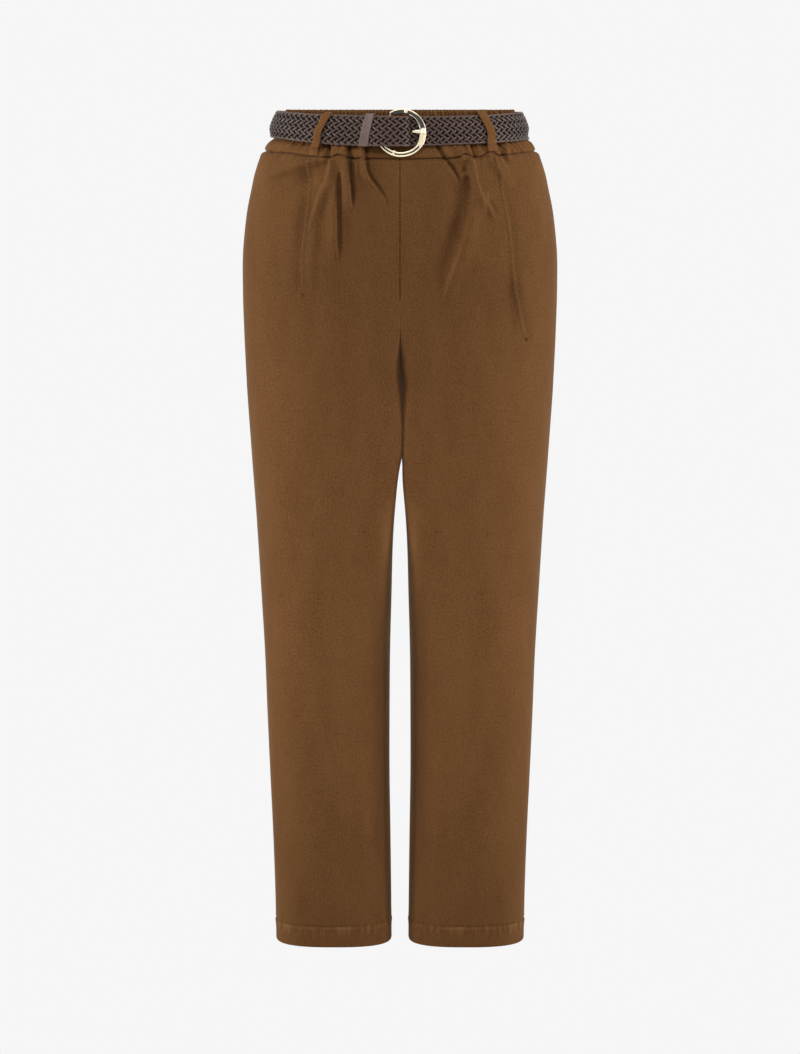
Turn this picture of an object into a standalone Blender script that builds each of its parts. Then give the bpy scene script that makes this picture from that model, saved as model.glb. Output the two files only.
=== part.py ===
"""Paperbag waist trousers with their braided belt, hollow and filled out as on a wearer.

Every length is in millimetres until a mesh is made. The frame: +Z up, +Y to the back, the wearer's left
at +X. The origin is the middle of the waist, where the wearer holds the trousers up.

Each cloth piece is a wall: a grid of outer points and a grid of inner points, closed along its edges.
A grid's rows go down the garment, and its columns go round it, from the centre seam or the inseam to the
side seam. The rows come from two tables of sections, PELVIS and LEG, and turn from one into the other
along the crotch seam.
"""

import math

import bmesh
import bpy
import numpy as np
from mathutils import Matrix

METRES = 0.001
SEAM_GAP = 0.3  # between pieces that are sewn together

# Driving sizes.
WAIST_SEAM = -20.0  # the seam under the waistband, at the sides
HEM = -975.0
HEM_DEPTH = 25.0
FORK_TOP = -190.0  # where the centre seams start to turn under
FORK = -286.0  # the crotch point
LEG_TOP = -430.0  # from here down each leg is round about its own middle
PANEL_WALL = 1.4
HEM_WALL = 2.4
BAND_WALL = 2.4
FACING_WALL = 1.2
FACING_RECESS = 3.4  # from the front panel's outer face to the facing's
BELT_WIDTH = 33.0
BELT_THICKNESS = 2.5

# Sections round both legs together. Depths are measured from the middle plane, Y = 0.
PELVIS = (
    # height, half_width, front_depth, back_depth, roundness
    (28.0, 136.0, 86.5, 90.0, 2.2),
    (18.0, 141.6, 88.2, 92.6, 2.2),
    (8.0, 145.4, 89.2, 94.2, 2.2),
    (-6.5, 146.8, 90.0, 95.0, 2.2),
    (-12.0, 153.0, 93.4, 98.4, 2.2),
    (-20.0, 159.5, 97.0, 103.0, 2.2),
    (-42.0, 169.0, 104.0, 112.0, 2.3),
    (-66.0, 174.7, 108.0, 118.0, 2.35),
    (-89.0, 179.4, 110.0, 122.0, 2.4),
    (-112.0, 182.4, 111.0, 125.0, 2.45),
    (-136.0, 184.6, 112.0, 126.0, 2.5),
    (-183.0, 185.3, 111.0, 125.0, 2.5),
    (-230.0, 184.4, 109.0, 120.0, 2.4),
    (-302.0, 181.3, 104.0, 110.0, 2.3),
)
# Sections round one leg.
LEG = (
    # height, outer_edge, inner_edge, middle_y, front_depth, back_depth, inner_roundness, outer_roundness
    (-180.0, 185.3, 0.5, 14.0, 111.0, 125.0, 2.7, 2.5),
    (-254.0, 183.4, 0.5, 14.0, 107.0, 117.0, 2.7, 2.35),
    (-302.0, 181.4, 0.5, 13.0, 103.0, 110.0, 2.7, 2.25),
    (-350.0, 178.4, 0.8, 10.0, 98.0, 103.0, 2.6, 2.15),
    (-398.0, 175.3, 2.2, 7.0, 93.0, 97.0, 2.5, 2.1),
    (-446.0, 172.0, 6.4, 5.0, 87.0, 91.0, 2.4, 2.1),
    (-495.0, 169.2, 9.0, 4.0, 81.0, 85.0, 2.3, 2.1),
    (-544.0, 166.6, 10.2, 3.0, 75.5, 79.0, 2.2, 2.15),
    (-617.0, 162.8, 12.1, 3.0, 69.0, 73.0, 2.2, 2.2),
    (-691.0, 160.4, 12.7, 3.0, 63.0, 67.0, 2.2, 2.2),
    (-766.0, 157.6, 12.8, 3.0, 58.0, 62.0, 2.2, 2.2),
    (-841.0, 154.6, 11.8, 2.0, 54.0, 57.0, 2.3, 2.3),
    (-917.0, 152.4, 10.9, 1.0, 50.0, 52.0, 2.5, 2.5),
    (-975.0, 151.6, 10.4, 0.0, 47.0, 49.0, 2.6, 2.6),
)
# How far the waist dips at the centre front, by height at the side.
DIP = (
    # height, dip
    (28.0, 4.0),
    (-20.0, 8.0),
    (-60.0, 5.0),
    (-110.0, 0.0),
    (-400.0, 0.0),
)
SIDE_SEAM = (
    # height, y
    (28.0, 0.0),
    (-100.0, -4.0),
    (-300.0, -2.0),
    (-975.0, 0.0),
)
# The mouth of each slant pocket: a slit in the front panel, from the waist seam down.
POCKET_MOUTH = {
    "right": (
        # height, in_from_side, gap
        (-20.0, 101.5, 0.5),
        (-60.0, 120.0, 0.5),
        (-110.0, 127.0, 0.5),
        (-160.0, 128.0, 0.8),
        (-176.0, 128.5, 1.6),
        (-190.0, 129.0, 0.6),
        (-230.0, 128.0, 0.6),
    ),
    "left": (
        # height, in_from_side, gap
        (-20.0, 95.0, 0.5),
        (-60.0, 106.0, 0.5),
        (-110.0, 108.5, 0.5),
        (-160.0, 109.0, 1.2),
        (-182.0, 105.5, 4.0),
        (-205.0, 98.5, 2.4),
        (-232.0, 89.0, 0.8),
        (-270.0, 80.0, 0.6),
    ),
}
MOUTH_END = {"right": -184.0, "left": -238.0}
MOUTH_FADE = 45.0  # below the mouth's end, where the slit's two columns part to the usual spacing
MOUTH_SPACING = 8.0
# The cloth beside the mouth: the inner edge stands proud, and the outer edge is drawn in under it.
MOUTH_EDGES = {
    # edge: lift, reach
    "inner": (1.1, 9.0),
    "outer": (-1.3, 7.0),
}

# Tucks, ridges and creases on the fronts. Half widths are where a fold has fallen to a third.
FRONT_FOLDS = (
    # side, top_x, top_z, bottom_x, bottom_z, height, half_width
    ("right", 79.0, -20.0, 87.0, -64.0, 4.5, 9.0),
    ("right", 86.0, -58.0, 112.0, -128.0, 3.2, 11.0),
    ("right", 70.0, -30.0, 73.0, -96.0, 2.5, 8.0),
    ("right", 68.0, -60.0, 70.0, -146.0, -2.8, 6.0),
    ("right", 56.5, -20.0, 52.0, -88.0, -5.5, 6.5),
    ("right", 45.0, -20.0, 43.0, -80.0, 4.0, 7.5),
    ("right", 36.0, -24.0, 12.0, -98.0, -1.8, 7.0),
    ("left", 44.0, -20.0, 62.0, -52.0, -3.5, 6.0),
    ("left", 70.0, -20.0, 70.0, -54.0, 4.5, 9.0),
    ("left", 66.0, -60.0, 56.0, -130.0, -2.5, 12.0),
    ("left", 79.0, -20.0, 80.0, -92.0, -5.5, 6.5),
    ("left", 87.0, -20.0, 92.0, -76.0, 5.0, 7.5),
    ("left", 88.0, -66.0, 70.0, -144.0, 4.0, 9.0),
    ("left", 74.0, -130.0, 51.0, -205.0, 2.6, 11.0),
    ("left", 92.0, -70.0, 108.0, -100.0, 2.2, 7.0),
    ("left", 130.0, -150.0, 139.0, -232.0, 2.0, 9.0),
)
# Soft folds that hang from the elastic across the back, the same on both sides.
BACK_FOLDS = (
    # x, bottom_z, height, half_width
    (16.0, -78.0, 1.6, 8.0),
    (38.0, -112.0, 2.4, 8.0),
    (62.0, -84.0, 1.8, 7.5),
    (86.0, -124.0, 2.6, 8.5),
    (112.0, -92.0, 2.0, 8.0),
    (134.0, -108.0, 2.2, 7.5),
)
FOLD_START = 0.45  # a fold's share of its height at the waist seam
FOLD_RISE = 0.22  # the share of its length over which a fold rises to its full height
FOLD_FALL = 0.55  # and the share at its lower end over which it dies away

# Gathers round the waistband.
GATHER_PITCH = 7.8
GATHER_CHANGE = 0.22  # how far the pitch varies, as a share of itself
GATHER_TURN = 2.4  # radians of that variation from one crest or hollow to the next
FLAT_STEP = 12.5
FLAT_FRONT = 50.0  # each side of the centre front that stays ungathered
BAND_ROWS = (
    # height, gather
    (-20.0, 0.5),
    (-13.0, 1.3),
    (-6.5, 0.55),
    (10.0, 0.5),
    (28.0, 1.1),
)

# The belt: its rows by height from its middle, and the run of the strap seen from above, from its
# folded end round the ring's bar, away to the wearer's right and once round to the free end.
BELT_HEIGHT = 10.0  # the middle of the belt, at the sides
BELT_DIP = 6.5
BELT_EASE = 0.8  # room between the band and what lies over it
BELT_ROWS = (-16.5, -5.5, 5.5, 16.5)
BAR_FOLD = (
    # along, standoff, thickness
    (-25.0, 9.4, 1.4),
    (-14.0, 9.4, 1.4),
    (-9.8, 9.2, 1.4),
    (-7.6, 8.0, 1.4),
    (-6.8, 5.85, 1.4),
    (-7.6, 3.7, 1.4),
    (-10.0, 2.4, 1.4),
    (-18.0, 2.3, 1.4),
    (-29.0, 2.3, 1.4),
    (-40.0, 2.3, 1.4),
    (-52.0, 2.85, 2.5),
)
FREE_END = (
    # along, standoff, thickness
    (44.0, 2.85, 2.5),
    (34.0, 2.85, 2.5),
    (13.6, 2.9, 2.5),
    (9.6, 6.0, 2.5),
    (6.2, 9.4, 2.5),
    (1.5, 11.4, 2.5),
    (-6.0, 11.7, 2.5),
    (-16.0, 11.7, 2.5),
    (-25.0, 11.5, 2.5),
    (-31.0, 9.6, 2.5),
    (-37.0, 7.0, 2.5),
    (-43.0, 5.75, 2.5),
    (-55.0, 5.65, 2.5),
)
STRAP_STEP = 12.0
TIP_ALONG = -232.0  # the free end's tip, just round the wearer's right side
TIP_TAPER = 18.0
SECOND_LAYER = 5.65  # the middle of the outer layer where two lie together

RING_CENTRE = (2.6, 1.8)
RING_RADIUS = 27.2
RING_LEAN = 5.5  # degrees that its top leans back, as the waist does
RING_SECTION = (6.2, 3.3)  # width seen from the front, depth
RING_BACK = 94.3  # its back face is this far in front of the middle plane
PRONG = (
    # x, y_middle, width, depth
    (-5.5, -98.0, 3.6, 1.3),
    (4.0, -98.0, 3.6, 1.3),
    (12.0, -99.0, 3.6, 1.6),
    (18.0, -99.4, 3.6, 1.8),
    (24.0, -99.0, 3.4, 1.8),
    (30.0, -98.7, 3.0, 1.6),
    (31.7, -98.2, 2.0, 1.2),
)
PRONG_SLOT = ((1.0, 17.0), (-103.0, -95.0), 4.4)  # its span in X and in Y, and its height
PRONG_HEIGHT = 2.6
KEEPER_ALONG = -38.0
KEEPER_WIDTH = 10.5
KEEPER_LEAN = -2.8  # how far its lower end leans to the wearer's right, each way from the middle
KEEPER_WALL = 1.1
KEEPER_BACK = 1.3  # the inside of its back leaf, out from the band
KEEPER_SLACK = 0.5

LOOP_WIDTH = 10.0
LOOP_WALL = 1.4
LOOP_SIDES = (
    # height_from_belt, standoff over one layer, standoff over two
    (-27.5, 1.9, 1.9),
    (-21.5, 2.1, 2.3),
    (-18.9, 3.9, 5.6),
    (-15.5, 5.6, 8.5),
    (0.0, 6.0, 9.0),
    (12.0, 5.8, 8.7),
    (17.2, 5.6, 8.3),
    (19.0, 3.9, 5.4),
    (19.6, 2.1, 2.3),
)
LOOPS = (
    # name, along at the foot, along at the top, layers under it
    ("belt_loop_front_right", -90.5, -83.0, 2),
    ("belt_loop_front_left", 101.5, 96.0, 1),
    ("belt_loop_side_right", -287.0, -287.0, 1),
    ("belt_loop_side_left", 287.0, 287.0, 1),
    ("belt_loop_centre_back", 396.0, 396.0, 1),
)

# Rows and columns of the panel grids.
PELVIS_ROWS = 16
FORK_ROWS = 8
LEG_ROWS = 12
INNER_COLUMNS = 17  # of a front, from its centre seam to the pocket mouth
OUTER_COLUMNS = 6  # of a front, from the pocket mouth to its side seam
TUCK_COLUMNS = ((0.0, 0.15, 0.85, 1.0), (0.0, 0.21, 0.78, 1.0))  # shares of columns, and of the width
BACK_COLUMNS = 13
FACING_REACH = 2  # columns of the front that the facing lies behind, each side of the mouth
OUTLINE_POINTS = 90
SIDE_TILT = 12.0  # the rows at the crotch lie this much lower at the side than at the crotch point
TILT_FADE = 200.0  # and level out over this height
RING_SEGMENTS = (36, 8)

FINISHES = {
    # name: colour, roughness, metallic
    "cloth": ((0.135, 0.062, 0.026), 0.9, 0.0),
    "braid": ((0.055, 0.036, 0.030), 0.5, 0.0),
    "leather": ((0.140, 0.105, 0.088), 0.45, 0.0),
    "gold": ((0.80, 0.66, 0.42), 0.22, 1.0),
}


# ---- tables and outlines ----


def looked_up(table, column, height):
    """A table's column at a height, on a smooth curve through its rows."""
    rows = sorted(table)
    heights = np.array([row[0] for row in rows])
    values = np.array([row[column] for row in rows])
    slopes = np.gradient(values, heights)
    height = float(np.clip(height, heights[0], heights[-1]))
    i = int(np.clip(np.searchsorted(heights, height) - 1, 0, len(rows) - 2))
    step = heights[i + 1] - heights[i]
    t = (height - heights[i]) / step
    rise = values[i + 1] - values[i]
    start, end = slopes[i] * step, slopes[i + 1] * step
    return values[i] + t * start + t * t * (3 * rise - 2 * start - end) + t**3 * (start + end - 2 * rise)


def corner_arc(centre, radii, roundness, start, end):
    """Part of a superellipse, by angle in degrees from its side to its front or back."""
    angle = np.radians(np.linspace(start, end, OUTLINE_POINTS))
    across = np.abs(np.cos(angle)) ** (2 / roundness)
    deep = np.abs(np.sin(angle)) ** (2 / roundness)
    return np.column_stack([centre[0] + radii[0] * across, centre[1] + radii[1] * deep])


def parted(height):
    """How far the legs have parted: 0 where the middle of each front lies at the centre seam, 1 where it
    lies in the middle of its leg."""
    t = min(max((FORK_TOP - height) / (FORK_TOP - LEG_TOP), 0.0), 1.0)
    return t * t * (3 - 2 * t)


def half_outline(height, turn, face):
    """The left half of a section, front (face -1) or back (face 1), from its inner edge to the side seam.

    turn is 0 where both legs are in one section, 90 where the leg stands alone, and between them it says
    how far the section's inner edge has gone along the crotch seam.
    """
    alone = turn / 90
    column = 2 if face < 0 else 3
    pelvis_depth = looked_up(PELVIS, column, height)
    leg_depth = looked_up(LEG, column + 2, height)
    depth = face * ((1 - alone) * pelvis_depth + alone * leg_depth)
    width = (1 - alone) * looked_up(PELVIS, 1, height) + alone * looked_up(LEG, 1, height)
    inner = SEAM_GAP / 2 + alone * (looked_up(LEG, 2, height) - SEAM_GAP / 2)
    fork = 1 - math.cos(math.radians(turn))
    edge_y = looked_up(LEG, 3, height) * fork + depth * (1 - fork)
    middle_x = inner + (width - inner) / 2 * parted(height)
    side_y = looked_up(SIDE_SEAM, 1, height)
    roundness = (1 - alone) * looked_up(PELVIS, 4, height) + alone * looked_up(LEG, 7, height)
    outer = corner_arc((middle_x, side_y), (width - middle_x, depth - side_y), roundness, 90, 0)
    if turn == 0:
        return outer
    inside = corner_arc(
        (middle_x, edge_y), (inner - middle_x, depth - edge_y), looked_up(LEG, 6, height), 0, 90
    )
    return np.vstack([inside[:-1], outer])


def lengths_along(points):
    steps = np.linalg.norm(np.diff(points, axis=0), axis=1)
    return np.concatenate([[0.0], np.cumsum(steps)])


def points_at(points, wanted):
    """The points at these distances along a line of points."""
    along = lengths_along(points)
    return np.column_stack([np.interp(wanted, along, points[:, k]) for k in range(points.shape[1])])


def outward_normals(points, face):
    """Unit normals in plan, away from the garment's inside, for points from the inner edge to the side."""
    tangent = np.gradient(points[:, :2], axis=0)
    normal = face * np.column_stack([-tangent[:, 1], tangent[:, 0]])
    return normal / np.linalg.norm(normal, axis=1)[:, None]


# ---- folds ----


def bump(distance, half_width):
    return np.exp(-((distance / half_width) ** 2) * math.log(3))


def front_fold_height(side, x, z):
    total = np.zeros_like(x)
    for row_side, top_x, top_z, bottom_x, bottom_z, height, half_width in FRONT_FOLDS:
        if row_side != side:
            continue
        t = (top_z - z) / (top_z - bottom_z)
        centre = top_x + (bottom_x - top_x) * t
        start = FOLD_START if top_z >= WAIST_SEAM else 0.0
        rise = np.clip(start + (1 - start) * t / FOLD_RISE, 0, 1)
        strength = rise * np.clip((1 - t) / FOLD_FALL, 0, 1)
        strength = np.where((t < -FOLD_RISE) | (t > 1), 0, strength)
        total += height * strength * bump(x - centre, half_width)
    return total


def back_fold_height(x, z):
    total = np.zeros_like(x)
    for centre, bottom_z, height, half_width in BACK_FOLDS:
        t = np.clip((WAIST_SEAM - z) / (WAIST_SEAM - bottom_z), 0, 1)
        strength = (FOLD_START + (1 - FOLD_START) * np.clip(t / FOLD_RISE, 0, 1)) * (1 - t)
        total += height * strength * bump(x - centre, half_width)
    return total


# ---- the panels ----


def panel_rows():
    """The height at the side seam and the turn of each row, from the waist seam to the hem."""
    rows = [(z, 0.0) for z in np.linspace(WAIST_SEAM - SEAM_GAP / 2, FORK_TOP, PELVIS_ROWS)]
    side_end = FORK - SIDE_TILT
    for k in range(1, FORK_ROWS + 1):
        t = k / FORK_ROWS
        rows.append((FORK_TOP + (side_end - FORK_TOP) * t, 90.0 * t))
    hem_top = HEM + HEM_DEPTH
    spaced = [side_end + (hem_top - side_end) * (k / LEG_ROWS) ** 1.1 for k in range(1, LEG_ROWS)]
    rows += [(z, 90.0) for z in spaced]
    rows += [(z, 90.0) for z in (hem_top + 2, hem_top - 2, HEM)]
    return rows


def folded_outline(side, face, height, turn):
    """A row's full outline in three dimensions with its folds, and its plain lengths along it."""
    outline = half_outline(height, turn, face)
    along = lengths_along(outline)
    share = along / along[-1]
    inner_z = height
    if turn > 0:
        fork_z = FORK_TOP + (FORK - FORK_TOP) * math.sin(math.radians(turn))
        fade = np.clip(1 - (FORK - SIDE_TILT - height) / TILT_FADE, 0, 1)
        inner_z = fork_z if turn < 90 else height + SIDE_TILT * fade
    z = height + (inner_z - height) * (1 - share) ** 2
    if face < 0:
        forward = np.clip(outline[:, 1] / outline[0, 1], 0, 1)
        z = z - looked_up(DIP, 1, height) * forward**2
    if height > FORK:
        x = outline[:, 0]
        fold = front_fold_height(side, x, z) if face < 0 else back_fold_height(x, z)
        outline = outline + outward_normals(outline, face) * fold[:, None]
    return np.column_stack([outline, z]), along


def walled(outer, normals, wall):
    """The points this far under a row of outer points, or out from it where wall is negative."""
    inner = outer.copy()
    inner[:, :2] -= normals * np.reshape(wall, (-1, 1))
    return inner


def row_wall(height):
    in_hem = height < HEM + HEM_DEPTH
    return HEM_WALL if in_hem else PANEL_WALL


def row_points(outline, along, wanted):
    """The points of a row's outline at these distances along it."""
    return np.column_stack([np.interp(wanted, along, outline[:, k]) for k in range(3)])


def end_normals(normals, face, turn, inner_end, side_end):
    """Straighten the normals at a row's two ends, so that neighbouring pieces' walls meet squarely."""
    if inner_end and turn in (0.0, 90.0):
        normals[0] = (0, face) if turn == 0 else (-1, 0)
    if side_end:
        normals[-1] = (1, 0)
    return normals


def mouth_gap(side, height):
    """The space between the slit's two columns, which widens below the mouth's end."""
    table = POCKET_MOUTH[side]
    gap = looked_up(table, 2, height)
    parting = np.clip((MOUTH_END[side] - height) / MOUTH_FADE, 0, 1)
    return gap + (MOUTH_SPACING - gap) * parting


def mouth_strength(side, height):
    """How far the mouth's edges are raised and drawn in at a height: fading at both its ends."""
    below = np.clip((height - MOUTH_END[side] + MOUTH_FADE) / MOUTH_FADE, 0, 1)
    above = np.clip((WAIST_SEAM - height) / MOUTH_FADE, 0, 1)
    return below * above


def inner_shares(turn):
    """The inner columns' places: closer together over the tucks on the hips, and even on the legs."""
    even = np.linspace(0, 1, INNER_COLUMNS)
    hips = np.interp(even, *TUCK_COLUMNS)
    return hips + (even - hips) * turn / 90


def front_row(side, height, turn):
    """A front's row: its points without the mouth's raised edge, their normals, and the edge's lift."""
    outline, along = folded_outline(side, -1, height, turn)
    end = along[-1] - SEAM_GAP / 2
    mouth = along[-1] - looked_up(POCKET_MOUTH[side], 1, height)
    gap = mouth_gap(side, height)
    strength = mouth_strength(side, height)
    inside = SEAM_GAP / 2 + (mouth - gap / 2 - SEAM_GAP / 2) * inner_shares(turn)
    outside = np.linspace(mouth + gap / 2, end, OUTER_COLUMNS)
    points, normals, lifts = [], [], []
    for wanted, edge in ((inside, "inner"), (outside, "outer")):
        part = row_points(outline, along, wanted)
        lift, reach = MOUTH_EDGES[edge]
        points.append(part)
        is_inner = edge == "inner"
        normals.append(end_normals(outward_normals(part, -1), -1, turn, is_inner, not is_inner))
        lifts.append(strength * lift * bump(wanted - mouth, reach))
    return np.vstack(points), np.vstack(normals), np.concatenate(lifts)


def front_grids(side):
    """The front's outer and inner points, and its slit: the column on its left, and its rows."""
    outer_rows, inner_rows = [], []
    for height, turn in panel_rows():
        points, normals, lift = front_row(side, height, turn)
        outer = walled(points, normals, -lift)
        outer_rows.append(outer)
        inner_rows.append(walled(outer, normals, row_wall(height)))
    column = INNER_COLUMNS - 1 if side == "left" else OUTER_COLUMNS - 1
    return mirrored(side, outer_rows), mirrored(side, inner_rows), (column, len(mouth_rows(side)))


def mouth_rows(side):
    """The rows that the mouth cuts through."""
    return [(height, turn) for height, turn in panel_rows() if height > MOUTH_END[side]]


def back_grids(side):
    outer_rows, inner_rows = [], []
    for height, turn in panel_rows():
        outline, along = folded_outline(side, 1, height, turn)
        wanted = np.linspace(SEAM_GAP / 2, along[-1] - SEAM_GAP / 2, BACK_COLUMNS)
        outer = row_points(outline, along, wanted)
        normals = end_normals(outward_normals(outer, 1), 1, turn, True, True)
        outer_rows.append(outer)
        inner_rows.append(walled(outer, normals, row_wall(height)))
    return mirrored(side, outer_rows), mirrored(side, inner_rows)


def facing_grids(side):
    """The facing behind the mouth, made from the front's points, moved in."""
    outer_rows, inner_rows = [], []
    columns = slice(INNER_COLUMNS - 1 - FACING_REACH, INNER_COLUMNS + 1 + FACING_REACH)
    for height, turn in panel_rows()[: len(mouth_rows(side)) + 2]:
        points, normals, _ = front_row(side, height, turn)
        outer = walled(points[columns], normals[columns], FACING_RECESS)
        outer_rows.append(outer)
        inner_rows.append(walled(outer, normals[columns], FACING_WALL))
    return mirrored(side, outer_rows), mirrored(side, inner_rows)


def mirrored(side, rows):
    """The grid as it is for the wearer's left, turned over to the other side for the right."""
    grid = np.array(rows)
    if side == "right":
        grid = grid[:, ::-1] * (-1, 1, 1)
    return grid


# ---- the waist, the belt and what lies on them ----


def waist_half(face):
    return half_outline(0.0, 0.0, face)


FRONT_HALF = waist_half(-1)
BACK_HALF = waist_half(1)
FRONT_LENGTH = lengths_along(FRONT_HALF)[-1]
BACK_LENGTH = lengths_along(BACK_HALF)[-1]
ROUND = 2 * (FRONT_LENGTH + BACK_LENGTH)


def waist_point(along, height, standoff):
    """A point on or off the waist, and its normal in plan.

    along is measured round the waist from the centre front towards the wearer's left, height is the
    height that the point would have at the side seam, and standoff is how far outside the band it lies.
    """
    along = (along + ROUND / 2) % ROUND - ROUND / 2
    mirror = -1 if along < 0 else 1
    distance = abs(along)
    if distance <= FRONT_LENGTH:
        face, half, along_half = -1, FRONT_HALF, distance
    else:
        face, half, along_half = 1, BACK_HALF, ROUND / 2 - distance
    column = 2 if face < 0 else 3
    near = points_at(half, np.array([max(along_half - 1, 0), along_half, along_half + 1]))
    tangent = near[2] - near[0]
    normal = face * np.array([-tangent[1], tangent[0]])
    normal = normal / np.linalg.norm(normal) * (mirror, 1)
    wide = looked_up(PELVIS, 1, height) / looked_up(PELVIS, 1, 0.0)
    deep = looked_up(PELVIS, column, height) / looked_up(PELVIS, column, 0.0)
    place = near[1] * (mirror * wide, deep) + normal * standoff
    forward = np.clip(near[1][1] / FRONT_HALF[0, 1], 0, 1) if face < 0 else 0.0
    return place, normal, forward**2


def band_grids(start, end):
    """The waistband between two places round the waist: gathered outside, plain inside."""
    along, wave = gathered_columns(start, end)
    outer_rows, inner_rows = [], []
    for height, gather in BAND_ROWS:
        lifted = height + SEAM_GAP / 2 if height == WAIST_SEAM else height
        outer, inner = [], []
        for place, lift in zip(along, wave):
            point, normal, forward = waist_point(place, lifted, 0.0)
            z = lifted - looked_up(DIP, 1, lifted) * forward
            outer.append((*(point + normal * gather * lift), z))
            inner.append((*(point - normal * BAND_WALL), z))
        outer_rows.append(outer)
        inner_rows.append(inner)
    return np.array(outer_rows), np.array(inner_rows)


def gathered_columns(start, end):
    """Places along the band, at the crest and the hollow of each gather, and 1, -1 or 0 for each."""
    places, waves = [start], [0]
    place, k = start, 0
    while True:
        flat = abs(place) < FLAT_FRONT
        step = GATHER_PITCH / 2 * (1 + GATHER_CHANGE * math.sin(GATHER_TURN * k))
        step = FLAT_STEP if flat else step
        place += step
        k += 1
        if place > end - 2:
            break
        places.append(place)
        waves.append(0 if abs(place) < FLAT_FRONT else (1 if k % 2 else -1))
    return places + [end], waves + [0]


def belt_point(along, from_middle, standoff):
    """A point on the belt's path, at this height from its middle."""
    height = BELT_HEIGHT + from_middle
    point, _, forward = waist_point(along, height, standoff + BELT_EASE)
    return np.array([*point, height - BELT_DIP * forward])


def strap_stations():
    """The strap seen from above: along, standoff of its middle and thickness at each station."""
    stations = list(BAR_FOLD)
    first, last = BAR_FOLD[-1][0] - STRAP_STEP, FREE_END[0][0] - ROUND + STRAP_STEP
    for along in np.linspace(first, last, round((first - last) / STRAP_STEP)):
        stations.append((along, 2.85, BELT_THICKNESS))
    stations += [(along - ROUND, standoff, thick) for along, standoff, thick in FREE_END]
    first, last = FREE_END[-1][0] - ROUND - STRAP_STEP, TIP_ALONG - ROUND
    for along in np.linspace(first, last, round((first - last) / STRAP_STEP)):
        stations.append((along, SECOND_LAYER, BELT_THICKNESS))
    return stations


def tip_share(along):
    """The strap's share of its full width: less than one only at the rounded tip."""
    left = min((along - (TIP_ALONG - ROUND)) / TIP_TAPER, 1.0)
    return math.sqrt(max(0.04, 1 - (1 - left) ** 2))


def strap_grids():
    """The strap's outer and inner faces, one row for each station and one column for each belt row."""
    stations = strap_stations()
    outer_columns, inner_columns = [], []
    for from_middle in BELT_ROWS:
        middle = np.array(
            [belt_point(along, from_middle * tip_share(along), off) for along, off, _ in stations]
        )
        tangent = np.gradient(middle[:, :2], axis=0)
        normal = np.column_stack([-tangent[:, 1], tangent[:, 0]])
        normal /= -np.linalg.norm(normal, axis=1)[:, None]
        thick = np.array([row[2] for row in stations])[:, None] / 2
        outer, inner = middle.copy(), middle.copy()
        outer[:, :2] -= normal * thick
        inner[:, :2] += normal * thick
        outer_columns.append(outer)
        inner_columns.append(inner)
    return np.stack(outer_columns, axis=1), np.stack(inner_columns, axis=1)


def keeper_grids():
    """The keeper: a loop of leather round both layers, its front sloping with the free end under it."""
    half = BELT_WIDTH / 2 + KEEPER_SLACK
    heights = (half, BELT_ROWS[2], BELT_ROWS[1], -half)
    corners = [(height, True) for height in heights] + [(height, False) for height in heights[::-1]]
    grids = []
    for wall in (KEEPER_WALL, 0.0):
        rows = []
        for edge in (-0.5, 0.5):
            row = []
            for from_middle, over in corners:
                along = KEEPER_ALONG + edge * KEEPER_WIDTH - KEEPER_LEAN * from_middle / half
                standoff = free_end_face(along) + wall if over else KEEPER_BACK - wall
                lift = math.copysign(wall, from_middle) if abs(from_middle) == half else 0.0
                row.append(belt_point(along, from_middle + lift, standoff))
            rows.append(row)
        grids.append(np.array(rows))
    return grids


def free_end_face(along):
    """How far out the free end's outer face lies, with the keeper's slack."""
    rows = sorted(FREE_END)
    middle = np.interp(along, [row[0] for row in rows], [row[1] for row in rows])
    return middle + BELT_THICKNESS / 2 + KEEPER_SLACK


def loop_grids(foot, top, layers):
    """A belt loop: sewn to the band below the belt and at the top edge, standing off over the belt."""
    path = np.array([(row[0], row[layers]) for row in LOOP_SIDES])
    tangent = np.gradient(path, axis=0)
    normal = np.column_stack([-tangent[:, 1], tangent[:, 0]])
    normal /= np.linalg.norm(normal, axis=1)[:, None]
    grids = []
    for sign in (1, -1):
        shifted = path + sign * normal * LOOP_WALL / 2
        rows = []
        for height, standoff in shifted:
            t = (height - path[0, 0]) / (path[-1, 0] - path[0, 0])
            along = foot + (top - foot) * np.clip(t, 0, 1) ** 1.6
            edges = (along - LOOP_WIDTH / 2, along + LOOP_WIDTH / 2)
            rows.append([belt_point(place, height, standoff) for place in edges])
        grids.append(np.array(rows))
    return grids


# ---- meshes ----


def grid_quads(rows, columns, first, flipped, ring, slit):
    quads = []
    for r in range(rows - 1):
        for c in range(columns if ring else columns - 1):
            if c == slit[0] and r < slit[1]:
                continue
            nxt = (c + 1) % columns
            quad = [first + r * columns + c, first + r * columns + nxt]
            quad += [first + (r + 1) * columns + nxt, first + (r + 1) * columns + c]
            quads.append(quad[::-1] if flipped else quad)
    return quads


def grid_edges(rows, columns, ring, slit):
    """The lines of grid points that the wall closes along, each as (row, column) and back to its start."""
    if ring:
        top = [(0, c) for c in range(columns)]
        return [top, [(rows - 1, c) for c in range(columns)][::-1]]
    border = [(0, c) for c in range(slit[0] + 1)]
    border += [(r, slit[0]) for r in range(1, slit[1] + 1)]
    border += [(r, slit[0] + 1) for r in range(slit[1], 0, -1)]
    border += [(0, c) for c in range(slit[0] + 1, columns)]
    border += [(r, columns - 1) for r in range(1, rows)]
    border += [(rows - 1, c) for c in range(columns - 2, -1, -1)]
    border += [(r, 0) for r in range(rows - 2, 0, -1)]
    return [border]


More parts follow.
